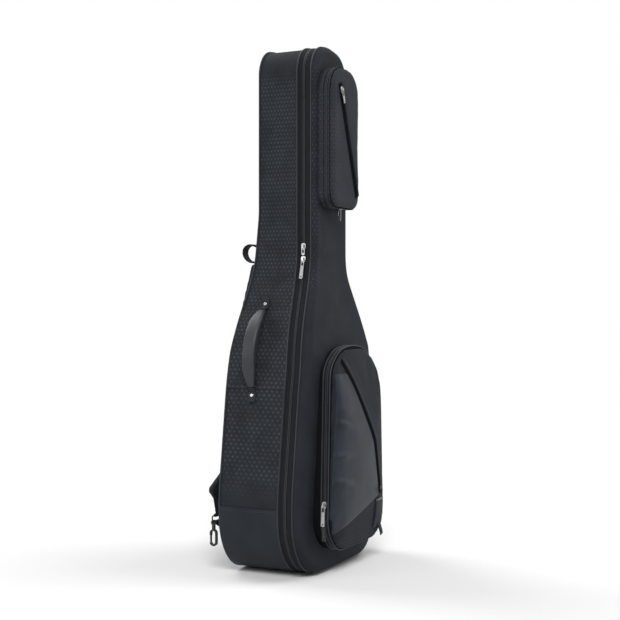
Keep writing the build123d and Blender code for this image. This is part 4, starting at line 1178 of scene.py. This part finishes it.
def zip_half(name, build, count, gap, coil, half, side, node, body, cloth="Zip tape"):
    """Half of a curved zip: a ribbed tape and its row of nylon teeth."""
    outer = [(offset, moved(coil, side * half * (1 - share))) for share, offset in TAPE_PROFILE]
    section = [*outer, (TAPE_BACK, outer[-1][1]), (TAPE_BACK, outer[0][1]), outer[0]]
    piece = swept(name + "_tape", open_outline(build, count, gap), section)
    finish(piece, body, cloth, [node])
    fine = 4 * int(build(count).along[-1] / finishes().coil_pitch)
    row = open_outline(build, fine, gap)
    section = round_section(TOOTH_ROW, moved(coil, side * TOOTH_REACH), TOOTH_RADIUS, sides=6)
    swell = 1 + TOOTH_SWELL * np.cos(math.tau * np.arange(len(row.points)) / 4)

    def relief(places):
        axis = places[:-1].mean(axis=0)[None]
        return axis + (places - axis) * swell[None, :, None]

    teeth = swept(name + "_teeth", row, section, relief=relief)
    finish(teeth, body, "Zip teeth", angle=60.0)


class GIGBAG_OT_main_zip(GigBagOperator):
    """Main zip round the bag"""

    bl_idname = "gigbag.main_zip"
    bl_label = "Main zip"

    def build(self):
        half = case().zip_band / 2
        coil = moved(rim_line(), -half)
        for body, side in (("case", 1), ("lid", -1)):
            name, node = f"{body}_zip", f"main_zip_{body}"
            zip_half(name, bag_outline, RING_COUNT, in_spine, coil, half, side, node, body)


class GIGBAG_OT_feet(GigBagOperator):
    """Rubber feet"""

    bl_idname = "gigbag.feet"
    bl_label = "Feet"

    def build(self):
        finish_cad(["base_feet"], "Rubber", bevel=0.0006)


class GIGBAG_OT_handle(GigBagOperator):
    """Side handle, its panel, tabs and rivets"""

    bl_idname = "gigbag.handle"
    bl_label = "Side handle"

    def build(self):
        low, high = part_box("handle_panel")
        x, z = bag_outline(RING_COUNT * 2).points.T
        path = bag_outline(RING_COUNT * 2, np.flatnonzero((x < 0) & (z > low.z) & (z < high.z)))
        skin = 0.0015
        wrapped("handle_backing", path, skin, "Embossed fabric", "handle_panel", "backing", low=-3, high=2)
        slot = "handle_leather"
        foam = {"voxel": 0.0022, "smooth": 12, "padded": 0.9, "angle": 80.0}
        softened("side_handle", "handle_grip", "side_handle", slot, "Handle leather", **foam)
        softened("handle_tabs", "handle_end_tabs", "case", slot, "Base leather", voxel=0.0011, smooth=3)
        finish_cad(["handle_rivets"], "Bright metal", bevel=0.0003)


def droop(piece):
    """Let the haul loop stand out further and hang to its lower end."""
    low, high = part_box("haul_loop")
    places = read_points(piece.data)
    out = np.clip((places[:, 1] - low.y) / (high.y - low.y), 0, 1)
    above = places[:, 2] > (low.z + high.z) / 2
    places[:, 1] += 0.009 * out
    places[:, 2] += 0.008 * out * out + np.where(above, 0.005, -0.003) * np.sin(math.pi * out)
    write_points(piece.data, places)


class GIGBAG_OT_straps(GigBagOperator):
    """Yoke, haul loop, shoulder straps and their webbing"""

    bl_idname = "gigbag.straps"
    bl_label = "Straps"

    def build(self):
        rear = back_line()
        low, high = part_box("strap_yoke")
        left, right = [np.array([(x, low.z), (x, high.z)]) for x in (high.x, low.x)]

        def skin(u, v):
            rim = np.maximum(abs(2 * u - 1), abs(2 * v - 1)) > 0.99
            return -0.0018 * (1 - 0.6 * rim)

        piece = patch("yoke_patch", left, right, 40, 24, rear, lambda u, v: 0 * u, skin)
        finish(piece, "case", "Base leather", ["strap_yoke"])
        sheet(piece)
        look = ("webbing", "Strap fabric")
        softened("haul_loop", "haul_loop_webbing", "haul_loop", *look, voxel=0.0012, smooth=4, shape=droop)
        top = low.z - 0.006
        seams = {
            "outer": [(0.066, top, 0), (0.091, 0.520, 0.15), (0.130, 0.300, 0.15), (0.135, 0.215, 0)],
            "inner": [(0.024, top, 0), (0.041, 0.520, 0.15), (0.095, 0.300, 0.15), (0.124, 0.190, 0)],
        }
        for side in ("left", "right"):
            node, name = f"shoulder_strap_{side}", f"padded_strap_{side}"
            foam = {"voxel": 0.0035, "smooth": 14, "padded": 0.8, "angle": 80.0}
            piece = softened(node, name, "case", "strap_pad", "Strap fabric", **foam)
            sign = 1 if sum(corner.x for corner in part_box(node)) > 0 else -1
            surface = covering(piece, rear, BACK)
            for label, bends in seams.items():
                seam = spaced(rounded(bends, closed=False), 120)[0] * (sign, 1)
                sewn(f"strap_{side}_stitches_{label}", seam, surface, "case", BACK)
        for node, name in (("strap_webbing", "ring_webbing"), ("strap_anchors", "anchor_webbing")):
            softened(node, name, "case", *look, voxel=0.0011, smooth=3)
        finish_cad(["strap_rings"], "Black metal")
        hooks = [f"snap_{part}_{side}" for part in ("hook", "gate") for side in ("left", "right")]
        finish_cad(hooks, "Black metal", bevel=0.0004)


class GIGBAG_OT_inside(GigBagOperator):
    """Plush lining, neck cradle, its strap and the end pad"""

    bl_idname = "gigbag.inside"
    bl_label = "Inside"

    def build(self):
        size = case()
        front = rim_line()
        rear = moved(back_line(), -size.back_thickness)
        lined = moved(rear, -size.lining_thickness)
        outer = -size.gusset_thickness
        inner = outer - size.lining_thickness
        shares = (0.25, 0.5, 0.75, 1.0)
        basin = [
            (outer, rear, 1.0),
            (outer, rear),
            *[(outer, between(rear, front, share)) for share in shares],
            *[(inner, between(rear, front, share)) for share in reversed(shares)],
            (inner - 0.002, moved(lined, -0.002)),
            *[(inner - 0.006, lined, share) for share in (0.0, 0.4, 1.0)],
        ]
        edge = -0.0031
        shut = moved(front, -size.zip_band)
        faced = moved(shut, size.lining_thickness)
        flat = [
            (edge, shut, 1.0),
            (edge, shut),
            (edge - 0.0006, faced),
            *[(edge - 0.004, faced, share) for share in (0.0, 0.5, 1.0)],
        ]
        for name, section, body, node in (
            ("plush_basin", basin, "case", "case_lining"),
            ("plush_lid", flat, "lid", "lid_lining"),
        ):
            piece = swept(name, bag_outline(RING_COUNT), section, centre_line())
            sheet(finish(piece, body, "Plush", [node]))
        for node, name in (("neck_cradle", "cradle_foam"), ("end_pad", "end_foam")):
            softened(node, name, "case", "plush", "Plush", voxel=0.004, smooth=5, padded=0.9)
        softened("neck_strap", "cradle_strap", "case", "webbing", "Strap fabric", voxel=0.001, smooth=2)


# ==== Lid and pockets =================================================================================
class GIGBAG_OT_lid(GigBagOperator):
    """Padded lid and its cloth spine"""

    bl_idname = "gigbag.lid"
    bl_label = "Lid"

    def build(self):
        size = case()
        rear, front = moved(rim_line(), -size.zip_band), lid_line()
        radius = size.lid_round
        turns = [math.radians(angle) for angle in (0, 18, 36, 54, 72, 90)]
        rounding = [
            (-radius * (1 - math.cos(turn)), moved(front, radius * 0.9 * (1 - math.sin(turn))))
            for turn in turns
        ]
        section = [
            (-0.002, rear, 1.0),
            (-0.002, rear),
            (0.0, moved(rear, -0.0005)),
            (0.0005, between(rear, rounding[0][1], 0.4)),
            *rounding,
            *[(-radius - extra, front) for extra in (0.004, 0.010, 0.020)],
            *[(-radius - 0.020, front, share) for share in np.linspace(0.08, 1.0, 12)],
        ]
        relief = unevenness(slice(9, -1), amount=0.0016, scale=11.0, push=DEPTHWISE, seed=5.0)
        piece = swept("lid_shell", bag_outline(RING_COUNT), section, centre_line(), relief)
        finish(piece, "lid", "Lid fabric", ["lid_panel"])
        look = ("shell_fabric", "Smooth fabric")
        softened("spine_strip", "spine_cloth", "lid", *look, voxel=0.0013, smooth=3)


WALL_BACK = -0.004
HINGE_BACK = -0.0022
SEAM_TOP = 0.0002
SEAM_BACK = -0.011


def pocket_sides(pocket, build, count, hinge, coil, material, tape, bead_at, bead_radius, cover_count):
    """Wall of a pocket, and the two halves of its zip with their beads and their parts of the hinge."""
    half = pockets().band / 2
    root, edge = moved(lid_line(), 0.002), moved(coil, half)
    shares = (0.0, 0.06, 0.2, 0.4, 0.6, 0.8, 0.94, 1.0)
    outer = [(0.0012 * math.sin(math.pi * share) - 0.0010, between(root, edge, share)) for share in shares]
    outline = build(WALL_COUNT)
    relief = unevenness(slice(1, 7), amount=0.0010, scale=22.0, push=outward(outline), seed=7.0)
    section = [*outer, (WALL_BACK, edge), (WALL_BACK, root), outer[0]]
    wall = swept(f"{pocket}_wall_skin", outline, section, relief=relief)
    finish(wall, "lid", material, [f"{pocket}_pocket_wall"])
    cover = f"{pocket}_cover"
    for side, part, body, node in (
        (1, "wall", "lid", f"{pocket}_wall_zip"),
        (-1, "cover", cover, f"{pocket}_pocket_zip"),
    ):
        label = f"{pocket}_{part}_side"
        zip_half(label, build, count, hinge, coil, half, side, node, body, tape)
        bead = round_section(bead_at, moved(coil, side * half * 0.97), bead_radius, sides=8)
        finish(swept(label + "_bead", build(count), bead), body, "Piping")
        near, far = moved(coil, side * 0.0003), moved(coil, side * half)
        back = [(HINGE_BACK, far), (HINGE_BACK, near), (0.0, near)]
        section = [(0.0, near), (0.0004, between(near, far, 0.5)), (0.0, far), *back]
        cloth = swept(label + "_cloth", open_outline(build, count, lambda whole: ~hinge(whole)), section)
        finish(cloth, body, "Smooth fabric")
    line = moved(coil, 0.0006 - half)
    turned_in = [(SEAM_BACK, moved(line, -0.0024)), (SEAM_BACK, line), (SEAM_TOP, line)]
    section = [(SEAM_TOP, line), (SEAM_TOP, moved(line, -0.0016)), *turned_in]
    # The cover's turned-in seam takes the near-black painted shade fabric.
    finish(swept(f"{cover}_seam", build(cover_count), section), cover, "Wall fabric")


def padded_cover(
    pocket, outline, centre, rear, face, turned, tuck, inset, shares, voxel, reach, most, slack, calm
):
    """Cover of a pocket, swollen between its seams.

    Turned is its rounded edge, tuck and inset are the insets of its rear and of its flat front, reach is
    how far a point may swell, and most is the line that the front stays behind.
    """
    section = [(-tuck, rear, 1.0), (-tuck, rear), *turned, *[(-inset, face, share) for share in shares]]
    cover = swept(f"{pocket}_cover_pad", outline, section, centre)

    def held(places):
        return places[:, 1] > rear(places[:, 0], places[:, 2]) - 0.0045

    def limit(places, swollen):
        kept = places + np.clip(swollen - places, -reach, reach)
        kept[:, 1] = np.maximum(kept[:, 1], most(kept[:, 0], kept[:, 2]))
        return kept

    blown(cover, voxel, held, slack, limit, calm)
    material, node = f"{pocket.title()} pocket fabric", f"{pocket}_pocket_cover"
    return finish(cover, f"{pocket}_cover", material, [node], angle=80.0)


# Where a flap's lip lies, as a share of the way from the middle of its zip to the zip's edge.
UPPER_LIP = 0.95
LOWER_LIP = 0.2


def slanted_opening(pocket, slash, flap_width, lip_share, surface, build):
    """Zip tape, teeth, overlapping flap and stitches of a slanted pocket opening."""
    size = pockets()
    body = f"{pocket}_cover"
    half = size.slash_width / 2
    lip_at = half * lip_share
    path = smoothed(np.array(slash).reshape(-1, 2), 240)
    inside = inside_of(build, size.margin)

    def beside(distance):
        line = sideways(path, distance)
        return line[inside(line)]

    tape = patch(
        f"{pocket}_slash_tape", beside(-half), beside(half), 18, 160, surface,
        lambda u, v: -0.0002 + 0 * u,
        lambda u, v: 0.0013 + 0.0005 * ((u < 0.12) | (u > 0.88)),
    )
    # Painted shade: the slash tape is near-black, standing for the shadow in the opening.
    finish(tape, body, "Wall fabric", [f"slash_zip_{pocket}"])
    row = path[inside(path)]
    line = stand(row, surface(row[:, 0], row[:, 1]) - 0.0020)
    pitch, half_wide, half_high = 0.0024, 0.0016, 0.0009
    fine, along = spaced(line, 4 * int(travel(line)[-1] / pitch))
    ahead = unit(np.gradient(fine, axis=0))
    outwards = np.cross(ahead, np.cross(np.array([0.0, -1.0, 0.0]), ahead))
    side = np.cross(ahead, outwards)
    swell = 1 + 0.3 * np.cos(math.tau * np.arange(len(fine)) / 4)
    places = np.array([
        fine + (side * half_wide * math.cos(turn) + outwards * half_high * math.sin(turn)) * swell[:, None]
        for turn in np.linspace(0, math.tau, 9)
    ])
    teeth = laid(f"{pocket}_slash_teeth", places, unrolled(along, np.linspace(0, 0.006, 9)))
    # Painted shade: the slash teeth are near-black, so the opening reads as a dark gap.
    finish(teeth, body, "Wall fabric", angle=60.0)
    flap = patch(
        f"{pocket}_slash_flap", beside(lip_at), beside(half + flap_width), 40, 150, surface,
        lambda u, v: 0.0016 * np.exp(-((u / 0.22) ** 2)) - 0.0004,
        lambda u, v: 0.0008 + 0.0021 * np.exp(-(((u - 0.10) / 0.16) ** 2)) * np.clip(u / 0.03, 0.15, 1),
    )
    finish(flap, body, "Smooth fabric", [f"slash_flap_{pocket}"], angle=50.0)
    sheet(flap)
    seam = beside(flap_width * 0.30 + lip_at)[4:-4]
    sewn(f"{pocket}_flap_stitches", seam, covering(flap, surface), body, lift=0.0001)


class GIGBAG_OT_upper_pocket(GigBagOperator):
    """Upper pocket: wall, zip, swollen cover, slanted opening and flap"""

    bl_idname = "gigbag.upper_pocket"
    bl_label = "Upper pocket"

    def build(self):
        size = pockets()
        front = level(size.upper_front)
        rear = moved(front, size.cover)
        coil = moved(rear, size.band / 2)
        cloth = "Upper pocket fabric"
        pocket_sides(
            "upper", upper_outline, 520, in_upper_hinge, coil, cloth, cloth,
            bead_at=-0.0004, bead_radius=0.0008, cover_count=260,
        )
        half, low, high = size.upper
        radius = 0.0055
        turned = [
            (-radius * (1 - math.cos(turn)), moved(front, radius * (1 - math.sin(turn))))
            for turn in QUARTER_TURN
        ]
        cover = padded_cover(
            "upper", upper_outline(260), middle_line(low + half, high - half), rear, front, turned,
            tuck=0.0010, inset=radius + 0.010, shares=(0.0, 0.5, 1.0),
            voxel=0.0045, reach=0.006, most=moved(front, -0.0012), slack=0.006, calm=8,
        )
        surface = covering(cover, front)
        slanted_opening("upper", size.upper_slash, size.upper_flap, UPPER_LIP, surface, upper_outline)


class GIGBAG_OT_lower_pocket(GigBagOperator):
    """Lower pocket: wall, zip, swollen cover with its leather, slash, flap and strap"""

    bl_idname = "gigbag.lower_pocket"
    bl_label = "Lower pocket"

    def build(self):
        size = pockets()
        coil = pocket_zip_line()
        # The lower pocket's wall takes the near-black painted shade fabric, for the shadow between lid and
        # pocket.
        pocket_sides(
            "lower", lower_outline, 600, in_lower_hinge, coil, "Wall fabric", "Zip tape",
            bead_at=0.0002, bead_radius=0.0015, cover_count=300,
        )
        rear, face = moved(coil, -size.band / 2), moved(cover_line(), 0.0015)
        radius = 0.009
        turned = [
            (-radius * (1 - math.cos(turn)), between(rear, face, 0.35 + 0.65 * math.sin(turn)))
            for turn in QUARTER_TURN
        ]
        centre = middle_line(size.corner[1] + 0.03, size.shoulder[1] - 0.03)
        cover = padded_cover(
            "lower", lower_outline(300), centre, rear, face, turned,
            tuck=0.0012, inset=radius + 0.012, shares=(0.0, 0.25, 0.5, 0.75, 1.0),
            voxel=0.005, reach=0.005, most=moved(cover_line(), -0.0010), slack=0.0, calm=16,
        )
        surface = covering(cover, cover_line())
        self.leather(surface)
        slanted_opening("lower", size.lower_slash, size.lower_flap, LOWER_LIP, surface, lower_outline)
        self.strap(surface)

    def leather(self, surface):
        """Leather panel left of the slash, with a stitched hem and soft wrinkles."""
        size = pockets()
        top, low = size.leather
        path = smoothed(np.array(size.lower_slash).reshape(-1, 2), 300)
        edge = sideways(path, -size.slash_width / 2 - 0.0002)
        right = edge[(edge[:, 1] < top) & inside_of(lower_outline, size.margin)(edge)]
        outline = lower_outline(1200)
        rim = outline.points - outline.normals * 0.0045
        rim = rim[(rim[:, 0] < 0) & (rim[:, 1] < top) & (rim[:, 1] > low)]
        left = rim[np.argsort(-rim[:, 1])]
        columns, rows = 120, 220
        from_left, to_right = spaced(left, rows)[0], spaced(right, rows)[0]
        wrinkles = [
            (0.318, 0.008, 0.0036), (0.256, 0.007, 0.0030), (0.194, 0.008, 0.0042), (0.352, 0.012, 0.0020),
        ]

        def raised(u, v):
            row = (v * (rows - 1)).astype(int)
            x = from_left[row, 0] * (1 - u) + to_right[row, 0] * u
            z = from_left[row, 1] * (1 - u) + to_right[row, 1] * u
            height = np.zeros_like(u)
            for place, spread, rise in wrinkles:
                bent = place - 0.10 * (x + 0.12) + 0.004 * np.sin(x * 34 + place * 60)
                fade = np.exp(-(((x + 0.110) / 0.038) ** 2))
                height += rise * fade * np.exp(-(((z - bent) / spread) ** 2))
            hem = 0.35 + 0.65 * np.clip(np.minimum.reduce([u, 1 - u, v, 1 - v]) / 0.012, 0, 1)
            return height + 0.0012 * hem

        piece = patch(
            "leather_skin", left, right, columns, rows, surface, lambda u, v: -0.0002 + 0 * u, raised
        )
        finish(piece, "lower_cover", "Panel leather", ["leather_panel"], angle=60.0)
        sheet(piece)

    def strap(self, surface):
        """Webbing strap over the foot of the slash, its bar and its loose tail."""
        low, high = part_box("pocket_strap_bar")
        bottom = 0.074
        left, right = [np.array([(x, low.z), (x, bottom)]) for x in (low.x + 0.002, high.x - 0.002)]
        strap = patch(
            "strap_webbing_front", left, right, 24, 60, surface,
            lambda u, v: 0.0002 + 0.0012 * np.sin(math.pi * v),
            lambda u, v: 0.0018 * np.clip(np.minimum(u, 1 - u) / 0.06, 0.4, 1),
        )
        finish(strap, "lower_cover", "Strap fabric", ["pocket_strap"])
        bends = [(0.091, 0.080, 0), (0.096, 0.068, 0.02), (0.106, 0.054, 0)]
        flat = spaced(rounded(bends, closed=False), 24)[0]
        start = float(surface(np.array([0.088]), np.array([0.082]))[0])
        bow = np.sin(np.linspace(0, 1, len(flat)) * math.pi)
        line = stand(flat, start - 0.0030 - 0.0015 * bow)
        tail = band("strap_tail", line, np.array([0.0, -1.0, 0.0]), 0.0145, 0.0019, (1, 0, 0.25))
        finish(tail, "lower_cover", "Strap fabric")
        finish_cad(["pocket_strap_bar"], "Black metal", bevel=0.0006)


class GIGBAG_OT_sliders(GigBagOperator):
    """Zip sliders and their pulls"""

    bl_idname = "gigbag.sliders"
    bl_label = "Sliders"

    def build(self):
        names = [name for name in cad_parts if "_slider" in name or "_pull" in name]
        dark = ["slash_slider_lower", "slash_pull_lower", "pocket_pull_rear"]
        finish_cad([name for name in names if name not in dark], "Bright metal", bevel=0.0002)
        finish_cad(dark, "Black metal", bevel=0.0002)


# ==== Stage ===========================================================================================
def lamp(kind, name, place, towards, **settings):
    """Light that shines in a direction."""
    deselect()
    bpy.ops.object.light_add(type=kind, location=place)
    light = bpy.context.object
    light.name = name
    for key, value in settings.items():
        setattr(light.data, key, value)
    light.rotation_euler = towards.to_track_quat("-Z", "Y").to_euler()


def studio():
    """Even world light: full to the camera and to mirrored and passing rays, and dimmer as a light."""
    world = bpy.data.worlds.new("Studio")
    bpy.context.scene.world = world
    world.use_nodes = True
    work = Tree(world.node_tree)
    background = world.node_tree.nodes["Background"].inputs
    rays = work.add("LightPath", {})
    seen = 0.0
    for label in ("Is Camera Ray", "Is Glossy Ray", "Is Transmission Ray"):
        seen = work.math("MAXIMUM", seen, rays[label])
    work.join(work.math("MULTIPLY_ADD", seen, 0.68, 0.32), background["Strength"])
    work.join((1, 1, 1, 1), background["Color"])


class GIGBAG_OT_stage(GigBagOperator):
    """Floor, lamps and camera"""

    bl_idname = "gigbag.stage"
    bl_label = "Stage"

    def build(self):
        deselect()
        bpy.ops.mesh.primitive_plane_add(size=30.0, location=(0, 0, 0))
        floor = bpy.context.object
        floor.name = "floor"
        material = bpy.data.materials.new("Pale floor")
        material.use_nodes = True
        shader = material.node_tree.nodes["Principled BSDF"].inputs
        shader["Base Color"].default_value = (0.80, 0.80, 0.80, 1)
        shader["Roughness"].default_value = 0.9
        shader["Specular IOR Level"].default_value = 0.1
        floor.data.materials.append(material)
        studio()
        for name, towards, energy, spread in (
            ("left_sun", (0.66, 0.34, -0.67), 2.05, 24.0),
            ("right_sun", (-0.30, 0.50, -0.81), 0.95, 30.0),
            ("back_sun", (-0.16, -0.66, -0.73), 1.15, 30.0),
        ):
            lamp("SUN", name, (0, 0, 3), Vector(towards), energy=energy, angle=math.radians(spread))
        for name, place, size, energy in (
            ("side_softbox", (-2.2, 1.4, 1.2), 0.9, 7.0),
            ("edge_softbox", (1.6, -2.6, 1.2), 0.8, 9.0),
        ):
            aim = Vector((0, 0, 0.55)) - Vector(place)
            lamp("AREA", name, place, aim, shape="DISK", size=size, energy=energy)
        deselect()
        turn = (math.pi / 2, 0, math.radians(-64))
        bpy.ops.object.camera_add(location=(-2.466, -1.181, 0.580), rotation=turn)
        camera = bpy.context.object
        camera.name = "camera"
        camera.data.lens = 72.0
        camera.data.sensor_width = 36.0
        camera.data.shift_x = 0.0205
        camera.data.shift_y = -0.0185
        bpy.context.scene.camera = camera
        bpy.context.scene.view_settings.view_transform = "Standard"


# ==== Add-on ==========================================================================================
class GIGBAG_PT_panel(bpy.types.Panel):
    """Lists the bag's sizes, finishes and operators."""

    bl_label = "Gig bag"
    bl_space_type = "VIEW_3D"
    bl_region_type = "UI"
    bl_category = "Gig bag"

    def draw(self, context):
        for owner in (case(), pockets(), finishes()):
            box = self.layout.box()
            for name in owner.bl_rna.properties.keys():
                if name not in {"rna_type", "name"}:
                    box.prop(owner, name)
        for operator in STEPS:
            self.layout.operator(operator.bl_idname)


STEPS = [
    GIGBAG_OT_finishes,
    GIGBAG_OT_stage,
    GIGBAG_OT_back,
    GIGBAG_OT_gusset,
    GIGBAG_OT_base_guard,
    GIGBAG_OT_piping,
    GIGBAG_OT_main_zip,
    GIGBAG_OT_feet,
    GIGBAG_OT_handle,
    GIGBAG_OT_straps,
    GIGBAG_OT_inside,
    GIGBAG_OT_lid,
    GIGBAG_OT_upper_pocket,
    GIGBAG_OT_lower_pocket,
    GIGBAG_OT_sliders,
]
GROUPS = {
    "gigbag_case": GIGBAG_PG_case,
    "gigbag_pockets": GIGBAG_PG_pockets,
    "gigbag_finishes": GIGBAG_PG_finishes,
}


def register():
    """Register the classes and hang the sizes on the scene."""
    for kind in (*GROUPS.values(), *STEPS, GIGBAG_PT_panel):
        bpy.utils.register_class(kind)
    for name, kind in GROUPS.items():
        setattr(bpy.types.Scene, name, bpy.props.PointerProperty(type=kind))


def unregister():
    """Take the classes and the sizes off again."""
    for name in GROUPS:
        delattr(bpy.types.Scene, name)
    for kind in (GIGBAG_PT_panel, *reversed(STEPS), *reversed(GROUPS.values())):
        bpy.utils.unregister_class(kind)


def main():
    """Add every piece in order."""
    register()
    for step in STEPS:
        family, name = step.bl_idname.split(".")
        getattr(getattr(bpy.ops, family), name)()


if __name__ == "__main__":
    main()
